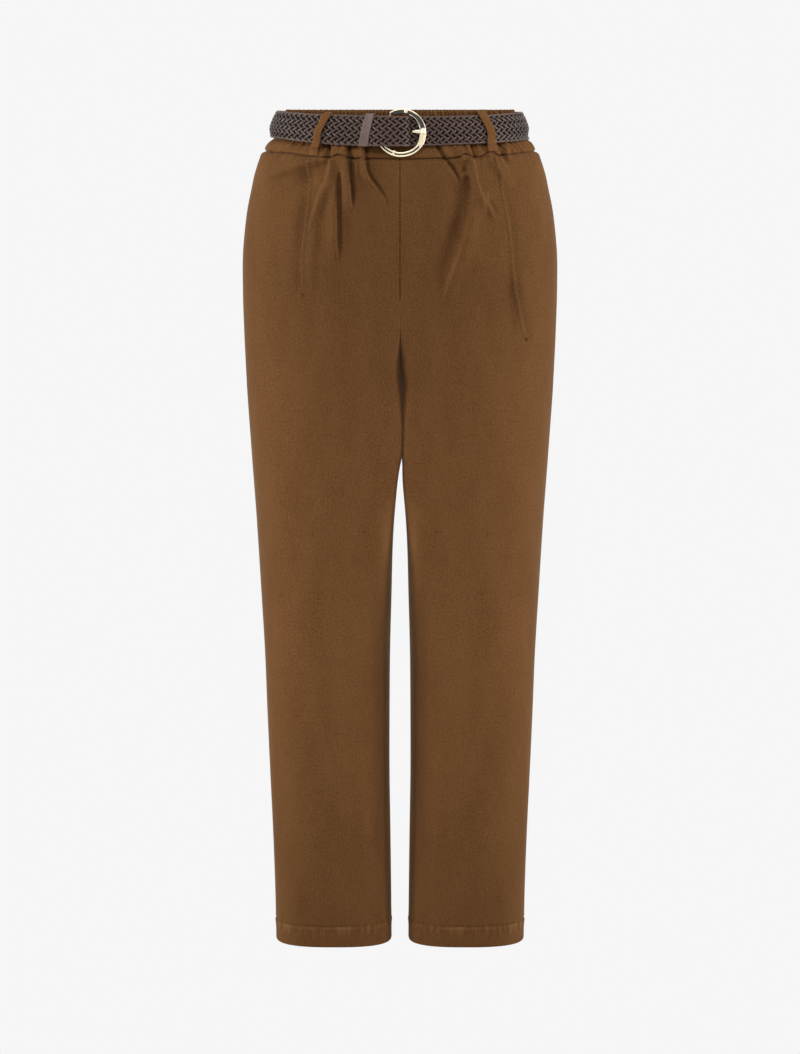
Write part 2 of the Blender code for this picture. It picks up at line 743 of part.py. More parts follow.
def wall_mesh(name, outer, inner, slit=(0, 0), ring=False):
    """A closed wall between two grids of points. ring joins the last column to the first.

    slit is the column on whose far side the wall is cut open, and the number of rows that the cut takes.
    """
    rows, columns = outer.shape[:2]
    count = rows * columns
    points = np.vstack([outer.reshape(-1, 3), inner.reshape(-1, 3)]) * METRES
    faces = grid_quads(rows, columns, 0, False, ring, slit)
    faces += grid_quads(rows, columns, count, True, ring, slit)
    for line in grid_edges(rows, columns, ring, slit):
        for (r0, c0), (r1, c1) in zip(line, line[1:] + line[:1]):
            a, b = r0 * columns + c0, r1 * columns + c1
            faces.append([b, a, a + count, b + count])
    mesh = bpy.data.meshes.new(name)
    mesh.from_pydata([tuple(p) for p in points], [], faces)
    whole = bmesh.new()
    whole.from_mesh(mesh)
    bmesh.ops.recalc_face_normals(whole, faces=whole.faces)
    bmesh.ops.triangulate(whole, faces=whole.faces, quad_method="SHORT_EDGE")
    whole.to_mesh(mesh)
    whole.free()
    mesh.shade_smooth()
    mesh.set_sharp_from_angle(angle=math.radians(50))
    return mesh


def finish(name):
    material = bpy.data.materials.new(name)
    material.use_nodes = True
    colour, roughness, metallic = FINISHES[name]
    shader = material.node_tree.nodes["Principled BSDF"]
    shader.inputs["Base Color"].default_value = (*colour, 1.0)
    shader.inputs["Roughness"].default_value = roughness
    shader.inputs["Metallic"].default_value = metallic
    return material


def add_part(name, mesh, material, collection):
    part = bpy.data.objects.new(name, mesh)
    mesh.materials.clear()
    mesh.materials.append(material)
    collection.objects.link(part)
    return part


def add_panels(collection, cloth):
    for side in ("right", "left"):
        front = front_grids(side)
        add_part(f"front_panel_{side}", wall_mesh("front", *front), cloth, collection)
        back = back_grids(side)
        add_part(f"back_panel_{side}", wall_mesh("back", *back), cloth, collection)
        facing = facing_grids(side)
        add_part(f"pocket_facing_{side}", wall_mesh("facing", *facing), cloth, collection)


def add_waistband(collection, cloth):
    seam = FRONT_LENGTH - SEAM_GAP / 2
    front = band_grids(-seam, seam)
    add_part("waistband_front", wall_mesh("band", *front), cloth, collection)
    back = band_grids(seam + SEAM_GAP, ROUND - seam - SEAM_GAP)
    add_part("waistband_back", wall_mesh("band", *back), cloth, collection)
    for name, foot, top, layers in LOOPS:
        loop = loop_grids(foot, top, layers)
        add_part(name, wall_mesh("loop", *loop), cloth, collection)


def add_belt(collection, cutters, braid, leather, gold):
    strap = add_part("belt_strap", wall_mesh("strap", *strap_grids()), braid, collection)
    add_part("belt_keeper", wall_mesh("keeper", *keeper_grids(), ring=True), leather, collection)
    add_ring(collection, gold)
    add_prong(collection, cutters, strap, gold)


def add_ring(collection, gold):
    """The ring: a hoop of flattened round wire, facing forwards."""
    width, depth = RING_SECTION
    bpy.ops.mesh.primitive_torus_add(
        major_segments=RING_SEGMENTS[0],
        minor_segments=RING_SEGMENTS[1],
        major_radius=(RING_RADIUS - width / 2) * METRES,
        minor_radius=width / 2 * METRES,
    )
    ring = bpy.context.object
    ring.name = "buckle_ring"
    ring.data.transform(Matrix.Diagonal((1, 1, depth / width, 1)))
    ring.rotation_euler = (math.radians(90 - RING_LEAN), 0, 0)
    middle_y = -(RING_BACK + depth / 2)
    ring.location = np.array((RING_CENTRE[0], middle_y, RING_CENTRE[1])) * METRES
    for owner in list(ring.users_collection):
        owner.objects.unlink(ring)
    collection.objects.link(ring)
    ring.data.materials.append(gold)
    ring.data.shade_smooth()


def add_prong(collection, cutters, strap, gold):
    """The prong, which comes out through the braid and rests on the ring's left side."""
    outer, inner = [], []
    for x, y, width, depth in PRONG:
        for rows, sign in ((outer, -1), (inner, 1)):
            low, high = PRONG_HEIGHT - width / 2, PRONG_HEIGHT + width / 2
            rows.append([(x, y + sign * depth / 2, low), (x, y + sign * depth / 2, high)])
    mesh = wall_mesh("prong", np.array(outer), np.array(inner))
    add_part("buckle_prong", mesh, gold, collection)
    bpy.ops.mesh.primitive_cube_add(size=1)
    slot = bpy.context.object
    slot.name = "prong_slot"
    (x0, x1), (y0, y1), tall = PRONG_SLOT
    slot.scale = np.array((x1 - x0, y1 - y0, tall)) * METRES
    slot.location = np.array(((x0 + x1) / 2, (y0 + y1) / 2, PRONG_HEIGHT)) * METRES
    slot.hide_render = True
    slot.display_type = "WIRE"
    for owner in list(slot.users_collection):
        owner.objects.unlink(slot)
    cutters.objects.link(slot)
    cut = strap.modifiers.new("slot", "BOOLEAN")
    cut.operation = "DIFFERENCE"
    cut.solver = "EXACT"
    cut.object = slot


def main():
    for old in list(bpy.data.objects):
        bpy.data.objects.remove(old, do_unlink=True)
    collection = bpy.data.collections.new("paperbag_waist_trousers")
    cutters = bpy.data.collections.new("cutters")
    bpy.context.scene.collection.children.link(collection)
    bpy.context.scene.collection.children.link(cutters)
    cloth, braid, leather, gold = (finish(name) for name in FINISHES)
    add_panels(collection, cloth)
    add_waistband(collection, cloth)
    add_belt(collection, cutters, braid, leather, gold)


main()
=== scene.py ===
# %% [markdown]
# # Paperbag waist trousers
# This lesson dresses a plain model of a pair of trousers: the solids already have the right size,
# and each step here makes one piece that looks like the real thing and takes the place of a
# solid. The imported model comes first, because every later piece is measured from it.

# %% Load the model
import math

import bmesh
import bpy
import numpy as np
from mathutils import Matrix, Vector


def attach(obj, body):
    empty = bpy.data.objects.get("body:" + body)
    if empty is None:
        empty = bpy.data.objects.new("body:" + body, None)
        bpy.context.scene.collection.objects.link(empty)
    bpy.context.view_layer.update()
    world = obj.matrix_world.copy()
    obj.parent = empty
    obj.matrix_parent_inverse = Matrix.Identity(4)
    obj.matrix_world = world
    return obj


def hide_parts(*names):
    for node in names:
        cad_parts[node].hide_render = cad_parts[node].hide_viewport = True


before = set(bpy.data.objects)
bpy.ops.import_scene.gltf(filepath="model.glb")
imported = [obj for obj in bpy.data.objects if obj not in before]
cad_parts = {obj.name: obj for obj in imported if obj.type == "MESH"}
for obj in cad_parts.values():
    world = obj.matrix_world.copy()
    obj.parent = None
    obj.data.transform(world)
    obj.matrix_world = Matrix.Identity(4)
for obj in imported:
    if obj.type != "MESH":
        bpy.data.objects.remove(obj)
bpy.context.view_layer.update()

MM = 0.001
print("nodes:", len(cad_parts))

# %% [markdown]
# ## The camera
# A long lens some three metres away, level with the waist and tipped down, sees the whole garment
# with little distortion, as a shop's studio does. The camera is made before the pieces, so that
# each of them can be looked at as soon as it is there.

# %% Camera
CAMERA_PLACE, CAMERA_TIP = (0.0, -3.2, 0.028), 8.79  # degrees below level
FILM_HEIGHT, FOCAL_LENGTH = 36.0, 92.22  # millimetres

camera_data = bpy.data.cameras.new("camera")
camera_data.sensor_fit = "VERTICAL"
camera_data.sensor_height = FILM_HEIGHT
camera_data.lens = FOCAL_LENGTH
camera = bpy.data.objects.new("camera", camera_data)
camera.location = CAMERA_PLACE
camera.rotation_euler = (math.radians(90 - CAMERA_TIP), 0.0, 0.0)
scene = bpy.context.scene
scene.collection.objects.link(camera)
scene.camera = camera
scene.view_settings.view_transform = "Standard"
print("camera at", tuple(camera.location))

# %% [markdown]
# ## The room
# A shop's studio floods white paper with light until it is one even tone, and puts a tall soft
# lamp at each side. Such lamps brighten what faces outwards and leave the middle of each fold
# darker. Weaker ones fill in from above, from the front and from behind. The floor and the world
# glow in the same tone here, which is the simplest way to get that even paper.

# %% Nodes and plain materials
PAPER = 0.921
AMBIENT = 0.30  # what the room gives the cloth; the paper itself is lit more brightly


def feed(tree, node, inputs):
    """Give each of a node's inputs a value or another node's output."""
    for socket, value in inputs.items():
        if isinstance(value, bpy.types.NodeSocket):
            tree.links.new(value, node.inputs[socket])
        else:
            node.inputs[socket].default_value = value
    return node


def add_node(tree, kind, inputs=None, **settings):
    node = tree.nodes.new("ShaderNode" + kind)
    for name, setting in settings.items():
        setattr(node, name, setting)
    return feed(tree, node, inputs or {})


def feed_shader(material, inputs):
    tree = material.node_tree
    feed(tree, tree.nodes["Principled BSDF"], inputs)


def plain_material(name, colour, roughness):
    """A material with one colour; the patterned ones further on start from it."""
    material = bpy.data.materials.new(name)
    material.use_nodes = True
    feed_shader(material, {"Base Color": (*colour, 1.0), "Roughness": roughness})
    return material


def grey(value):
    return (value, value, value, 1.0)


# %% Floor
FLOOR_SIZE, FLOOR_HEIGHT = 12.0, -1.06

floor_bm = bmesh.new()
bmesh.ops.create_grid(floor_bm, x_segments=4, y_segments=4, size=FLOOR_SIZE)
bmesh.ops.translate(floor_bm, verts=floor_bm.verts, vec=(0.0, 0.0, FLOOR_HEIGHT))
floor_mesh = bpy.data.meshes.new("floor")
floor_bm.to_mesh(floor_mesh)
floor_bm.free()
floor = bpy.data.objects.new("floor", floor_mesh)
scene.collection.objects.link(floor)
paper = plain_material("paper", (0.0, 0.0, 0.0), 1.0)
glow = {"Emission Color": grey(PAPER), "Emission Strength": 1.0, "Specular IOR Level": 0.0}
feed_shader(paper, glow)
floor_mesh.materials.append(paper)
floor.visible_diffuse = False
floor.visible_glossy = False
print("floor at", FLOOR_HEIGHT, "m")

# %% World
world = bpy.data.worlds.new("studio")
world.use_nodes = True
tree = world.node_tree
seen = feed(tree, tree.nodes["Background"], {"Color": grey(PAPER)})
lighting = add_node(tree, "Background", {"Color": grey(AMBIENT)})
ray = add_node(tree, "LightPath").outputs
either = {0: ray["Is Camera Ray"], 1: ray["Is Glossy Ray"]}
shows = add_node(tree, "Math", either, operation="MAXIMUM").outputs[0]
choice = add_node(tree, "MixShader", {0: shows, 1: lighting.outputs[0], 2: seen.outputs[0]})
feed(tree, tree.nodes["World Output"], {"Surface": choice.outputs[0]})
scene.world = world
print("world:", len(tree.nodes), "nodes")

# %% Lamps
LAMPS = (
    # name, place, the point it faces, size, watts, spread in degrees
    ("lamp_right", (-2.2, -0.5, -0.25), (0, 0, -0.5), (0.9, 2.8), 50.0, 180.0),
    ("lamp_left", (2.2, -0.5, -0.25), (0, 0, -0.5), (0.9, 2.8), 50.0, 180.0),
    ("lamp_top", (0.0, -1.6, 1.6), (0, 0, -0.2), (1.6, 0.8), 15.0, 180.0),
    ("lamp_low", (0.0, -2.4, -0.58), (0, 0, -0.58), (1.2, 0.3), 0.6, 26.0),
    ("lamp_back", (0.0, 2.4, -0.3), (0, 0, -0.4), (1.8, 1.8), 16.0, 180.0),
)


def add_lamp(name, place, aim, size, power, spread):
    """A flat soft lamp that faces the point it is aimed at; a grid before it narrows its spread."""
    data = bpy.data.lights.new(name, "AREA")
    data.shape = "RECTANGLE"
    data.size, data.size_y = size
    data.energy = power
    data.spread = math.radians(spread)
    lamp = bpy.data.objects.new(name, data)
    lamp.location = place
    lamp.rotation_euler = (Vector(aim) - Vector(place)).to_track_quat("-Z", "Y").to_euler()
    scene.collection.objects.link(lamp)


for lamp in LAMPS:
    add_lamp(*lamp)
print("lamps:", len(LAMPS))

# %% [markdown]
# ## The brown cloth
# The cloth is a fine brushed cotton. Its threads are uneven, so thin darker and lighter streaks
# run down it, and its short nap catches light at the edges of the body. The streaks are noise
# stretched along the length of the piece and read from the UV map, which every cloth piece gets
# in real metres, so that the grain bends with the cloth. The nap is the shader's sheen. Two masks
# add painted light to the colour: a painted highlight in flecks along the hem's stitching, where
# puckers catch light, and painted light inside the legs, which lifts the shade between them.

# %% Helpers for patterns
def add_noise(tree, vector, stretch, detail):
    """Noise on a stretched copy of the coordinates."""
    mapping = add_node(tree, "Mapping", {"Vector": vector, "Scale": stretch})
    inputs = {"Vector": mapping.outputs[0], "Scale": 1.0, "Detail": detail, "Roughness": 0.6}
    return add_node(tree, "TexNoise", inputs).outputs["Fac"]


def add_ramp(tree, value, stops):
    ramp = add_node(tree, "ValToRGB", {0: value})
    elements = ramp.color_ramp.elements
    while len(elements) < len(stops):
        elements.new(0.5)
    for element, (place, colour) in zip(elements, stops):
        element.position = place
        element.color = (*colour, 1.0)
    return ramp.outputs[0]


def add_mix(tree, kind, amount, first, second):
    inputs = {"Factor": amount, 6: first, 7: second}
    return add_node(tree, "Mix", inputs, data_type="RGBA", blend_type=kind).outputs[2]


def add_bump(tree, height, distance, strength, **below):
    inputs = {"Height": height, "Distance": distance, "Strength": strength, **below}
    return add_node(tree, "Bump", inputs).outputs[0]


def add_mask(tree, value, start, end):
    """A number that rises from 0 at one value to 1 at another."""
    inputs = {"Value": value, "From Min": start, "From Max": end}
    return add_node(tree, "MapRange", inputs, interpolation_type="SMOOTHSTEP").outputs["Result"]


def add_math(tree, kind, *values):
    return add_node(tree, "Math", dict(enumerate(values)), operation=kind).outputs[0]


def add_place(tree):
    """The coordinates of the piece itself, in metres."""
    return add_node(tree, "TexCoord").outputs["Object"]


def add_parts(tree, vector):
    return add_node(tree, "SeparateXYZ", {0: vector}).outputs


# %% Cloth material
CLOTH_SHADES = (
    # place on the ramp, colour
    (0.30, (0.172, 0.0785, 0.0270)),
    (0.50, (0.196, 0.0912, 0.0334)),
    (0.72, (0.219, 0.1055, 0.0408)),
)
FLECKS = ((0.30, (0.66, 0.56, 0.42)), (0.5, (0.84, 0.79, 0.71)), (0.70, (1.0, 1.0, 1.0)))
CLOUDS = ((0.32, (0.86, 0.835, 0.79)), (0.5, (0.93, 0.925, 0.91)), (0.68, (0.99, 1.0, 1.0)))
# Painted highlight: pale flecks added to the colour along the hem's stitching, where the puckers
# catch light.
HEM_PAINTED_HIGHLIGHT, HEM_HIGHLIGHT_START, HEM_HIGHLIGHT_STOP = (0.056, 0.032, 0.015), (-0.966, -0.951), (-0.948, -0.9495)
# Painted light: the cloth is lightened near the crease between the legs below the crotch, where the
# legs hide each other from the lamps and lie in shade.
INNER_LEG_PAINTED_LIGHT, INNER_LIGHT_EDGE, INNER_LIGHT_TOP = (0.066, 0.033, 0.013), (0.027, 0.012), (-0.40, -0.48)


# brightness scales the cloth's colour: above 1 it makes a lit copy with painted light, below 1 a
# shaded copy with painted shade.
def cloth_material(name, brightness=1.0):
    material = plain_material(name, CLOTH_SHADES[1][1], 0.92)
    tree = material.node_tree
    cloth = add_node(tree, "UVMap", uv_map="cloth").outputs[0]
    slub = add_noise(tree, cloth, (1100.0, 62.0, 1.0), 4.0)
    fleck = add_noise(tree, cloth, (620.0, 380.0, 1.0), 3.0)
    cloud = add_noise(tree, cloth, (30.0, 9.0, 1.0), 5.0)
    streak = add_noise(tree, cloth, (150.0, 30.0, 1.0), 2.0)
    shades = [(stop, tuple(brightness * c for c in shade)) for stop, shade in CLOTH_SHADES]
    colour = add_ramp(tree, slub, shades)
    for value, stops in ((fleck, FLECKS), (cloud, CLOUDS)):
        colour = add_mix(tree, "MULTIPLY", 1.0, colour, add_ramp(tree, value, stops))
    up = add_parts(tree, cloth)["Y"]
    # Painted highlight along the hem's stitching, broken into flecks by the streak noise.
    hem = add_math(tree, "MULTIPLY", *(add_mask(tree, up, *ends) for ends in (HEM_HIGHLIGHT_START, HEM_HIGHLIGHT_STOP)))
    hem = add_math(tree, "MULTIPLY", hem, add_mask(tree, streak, 0.46, 0.66))
    colour = add_mix(tree, "ADD", hem, colour, (*HEM_PAINTED_HIGHLIGHT, 1.0))
    # Painted light on the inner sides of the legs, which lifts the shade between them.
    place = add_parts(tree, add_place(tree))
    inner = add_mask(tree, add_math(tree, "ABSOLUTE", place["X"]), *INNER_LIGHT_EDGE)
    inner = add_math(tree, "MULTIPLY", inner, add_mask(tree, place["Z"], *INNER_LIGHT_TOP))
    colour = add_mix(tree, "ADD", inner, colour, (*INNER_LEG_PAINTED_LIGHT, 1.0))
    normal = add_bump(tree, slub, 0.0005, 0.6)
    normal = add_bump(tree, fleck, 0.0004, 0.5, Normal=normal)
    feed_shader(material, {"Base Color": colour, "Normal": normal, "Specular IOR Level": 0.12})
    sheen = {"Sheen Weight": 0.14, "Sheen Roughness": 0.32, "Sheen Tint": (1.0, 0.86, 0.62, 1.0)}
    feed_shader(material, sheen)
    return material


CLOTH = cloth_material("brushed_cloth")
# A lit copy of the cloth for the belt loops, 1.26 times brighter: painted highlight on the narrow
# strips that stand out from the band.
LOOP_LIT_CLOTH = cloth_material("loop_cloth_painted_highlight", 1.26)
# A lit copy of the cloth for the waistband, 1.09 times brighter: painted light that lifts the shade
# the belt casts on the band.
BAND_LIT_CLOTH = cloth_material("band_cloth_painted_light", 1.09)
# A shaded copy of the cloth at 0.6 of its brightness, for the pocket facings: painted shade for the
# recess behind each mouth.
SHADED_CLOTH = cloth_material("cloth_painted_shade", 0.6)
print("cloth materials: 4")

# %% [markdown]
# ## The shape of the legs and hips
# A tailor thinks of trousers as measures taken at heights: so wide here, so deep there. The two
# tables hold those measures, one round both legs and one round a single leg, and a smooth curve
# runs through their rows. Each section is a superellipse, which is rounder than a box and fuller
# than an oval, as cloth on a body is.

# %% Section tables
WAIST_SEAM, HEM, HEM_DEPTH = -20.0, -975.0, 25.0
FORK_TOP, FORK, LEG_TOP = -190.0, -286.0, -430.0
SIDE_TILT, TILT_FADE = 12.0, 200.0
PELVIS = (
    # height, half_width, front_depth, back_depth, roundness
    (28.0, 136.0, 86.5, 90.0, 2.2),
    (18.0, 141.6, 88.2, 92.6, 2.2),
    (8.0, 145.4, 89.2, 94.2, 2.2),
    (-6.5, 146.8, 90.0, 95.0, 2.2),
    (-12.0, 153.0, 93.4, 98.4, 2.2),
    (-20.0, 159.5, 97.0, 103.0, 2.2),
    (-42.0, 169.0, 104.0, 112.0, 2.3),
    (-66.0, 174.7, 108.0, 118.0, 2.35),
    (-89.0, 179.4, 110.0, 122.0, 2.4),
    (-112.0, 182.4, 111.0, 125.0, 2.45),
    (-136.0, 184.6, 112.0, 126.0, 2.5),
    (-183.0, 185.3, 111.0, 125.0, 2.5),
    (-230.0, 184.4, 109.0, 120.0, 2.4),
    (-302.0, 181.3, 104.0, 110.0, 2.3),
)
LEG = (
    # height, outer_edge, inner_edge, middle_y, front_depth, back_depth, outer_roundness
    (-180.0, 185.3, 0.0, 14.0, 111.0, 125.0, 2.5),
    (-254.0, 183.4, 0.0, 14.0, 107.0, 117.0, 2.35),
    (-302.0, 181.4, 0.0, 13.0, 103.0, 110.0, 2.25),
    (-350.0, 178.4, 0.0, 10.0, 98.0, 103.0, 2.15),
    (-372.0, 177.0, 0.2, 9.0, 96.0, 100.0, 2.1),
    (-398.0, 175.3, 2.2, 7.0, 93.0, 97.0, 2.1),
    (-446.0, 172.0, 6.4, 5.0, 87.0, 91.0, 2.1),
    (-495.0, 169.2, 9.0, 4.0, 81.0, 85.0, 2.1),
    (-544.0, 166.6, 10.2, 3.0, 75.5, 79.0, 2.15),
    (-617.0, 162.8, 12.1, 3.0, 69.0, 73.0, 2.2),
    (-691.0, 160.4, 12.7, 3.0, 63.0, 67.0, 2.2),
    (-766.0, 157.6, 12.8, 3.0, 58.0, 62.0, 2.2),
    (-841.0, 154.6, 11.8, 2.0, 54.0, 57.0, 2.3),
    (-917.0, 152.4, 10.9, 1.0, 50.0, 52.0, 2.5),
    (-975.0, 151.6, 10.4, 0.0, 47.0, 49.0, 2.6),
)
# How square the inner side of a leg is at the front: where the thighs touch, the fronts stay flat
# almost to the crease between them.
THIGH_CREASE = (
    (-180.0, 2.7), (-254.0, 2.9), (-302.0, 7.0), (-336.0, 15.0), (-372.0, 20.0), (-420.0, 20.0),
    (-452.0, 12.0), (-495.0, 6.0), (-544.0, 3.8), (-617.0, 2.8), (-975.0, 2.75),
)
BACK_CREASE = 3.2  # the most that the backs take of it
DIP = ((28.0, 4.0), (-20.0, 8.0), (-60.0, 5.0), (-110.0, 0.0), (-400.0, 0.0))  # at the centre front
SIDE_SEAM = ((28.0, 0.0), (-100.0, -4.0), (-300.0, -2.0), (-975.0, 0.0))  # height, y
print("sections:", len(PELVIS) + len(LEG))

# %% [markdown]
# ## From sections to outlines
# Between the hips and the legs the section has to split in two. The half outline below starts at
# the centre seam on the hips, travels along the crotch seam as the legs part, and ends at the
# inside leg. One function for all heights keeps the surface unbroken there.

# %% Outlines
OUTLINE_POINTS = 300


def looked_up(table, column, height):
    """A table's column at a height, on a smooth curve through its rows."""
    rows = sorted(table)
    heights = np.array([row[0] for row in rows])
    values = np.array([row[column] for row in rows])
    slopes = np.gradient(values, heights)
    height = float(np.clip(height, heights[0], heights[-1]))
    i = int(np.clip(np.searchsorted(heights, height) - 1, 0, len(rows) - 2))
    step = heights[i + 1] - heights[i]
    t = (height - heights[i]) / step
    rise = values[i + 1] - values[i]
    start, end = slopes[i] * step, slopes[i + 1] * step
    bend = t * t * (3 * rise - 2 * start - end) + t**3 * (start + end - 2 * rise)
    return values[i] + t * start + bend


def corner_arc(centre, radii, roundness, start, end):
    angle = np.radians(np.linspace(start, end, OUTLINE_POINTS))
    across = np.abs(np.cos(angle)) ** (2 / roundness)
    deep = np.abs(np.sin(angle)) ** (2 / roundness)
    return np.column_stack([centre[0] + radii[0] * across, centre[1] + radii[1] * deep])


def smooth_step(t):
    t = np.clip(t, 0.0, 1.0)
    return t * t * (3 - 2 * t)


def half_outline(height, turn, face):
    """The left half of a section, front (face -1) or back (face 1), from inner edge to side seam.

    turn goes from 0 on the hips to 90 where the leg stands alone.
    """
    alone = turn / 90

    def blended(column, leg_column):
        hips, leg = looked_up(PELVIS, column, height), looked_up(LEG, leg_column, height)
        return (1 - alone) * hips + alone * leg

    depth = face * (blended(2, 4) if face < 0 else blended(3, 5))
    width, roundness = blended(1, 1), blended(4, 6)
    inner = alone * max(looked_up(LEG, 2, height), 0.0)
    fork = 1 - math.cos(math.radians(turn))
    edge_y = looked_up(LEG, 3, height) * fork + depth * (1 - fork)
    parted = smooth_step((FORK_TOP - height) / (FORK_TOP - LEG_TOP))
    middle_x = inner + (width - inner) / 2 * parted
    side_y = looked_up(SIDE_SEAM, 1, height)
    outer = corner_arc((middle_x, side_y), (width - middle_x, depth - side_y), roundness, 90, 0)
    if turn == 0:
        return outer
    tight = looked_up(THIGH_CREASE, 1, height)
    tight = tight if face < 0 else min(tight, BACK_CREASE)
    inside = corner_arc((middle_x, edge_y), (inner - middle_x, depth - edge_y), tight, 0, 90)
    return np.vstack([inside[:-1], outer])


def lengths_along(points):
    steps = np.linalg.norm(np.diff(points, axis=0), axis=1)
    return np.concatenate([[0.0], np.cumsum(steps)])


def points_at(points, along, wanted):
    """The points at these distances along a line of points."""
    return np.column_stack([np.interp(wanted, along, points[:, k]) for k in range(points.shape[1])])


def unit(vectors):
    return vectors / np.maximum(np.linalg.norm(vectors, axis=1), 1e-9)[:, None]


def quarter_turn(vectors):
    return np.column_stack([-vectors[:, 1], vectors[:, 0]])


def outward_normals(points, face):
    return unit(face * quarter_turn(np.gradient(points[:, :2], axis=0)))


hips = sum(lengths_along(half_outline(-183, 0, face))[-1] for face in (-1, 1))
print("hip round:", round(2 * hips), "mm")

# %% [markdown]
# ## Folds as paths
# A tuck that is caught in a waistband opens out below it as a ridge that fades, with a crease
# beside it. Each fold here is a path over the surface with a height and a width on either side. A
# narrow side makes a steep edge, like a lap of cloth, and a wide side lets it melt away. Placed
# one by one and unevenly, such folds look like cloth, where a wave or a noise would look machined.

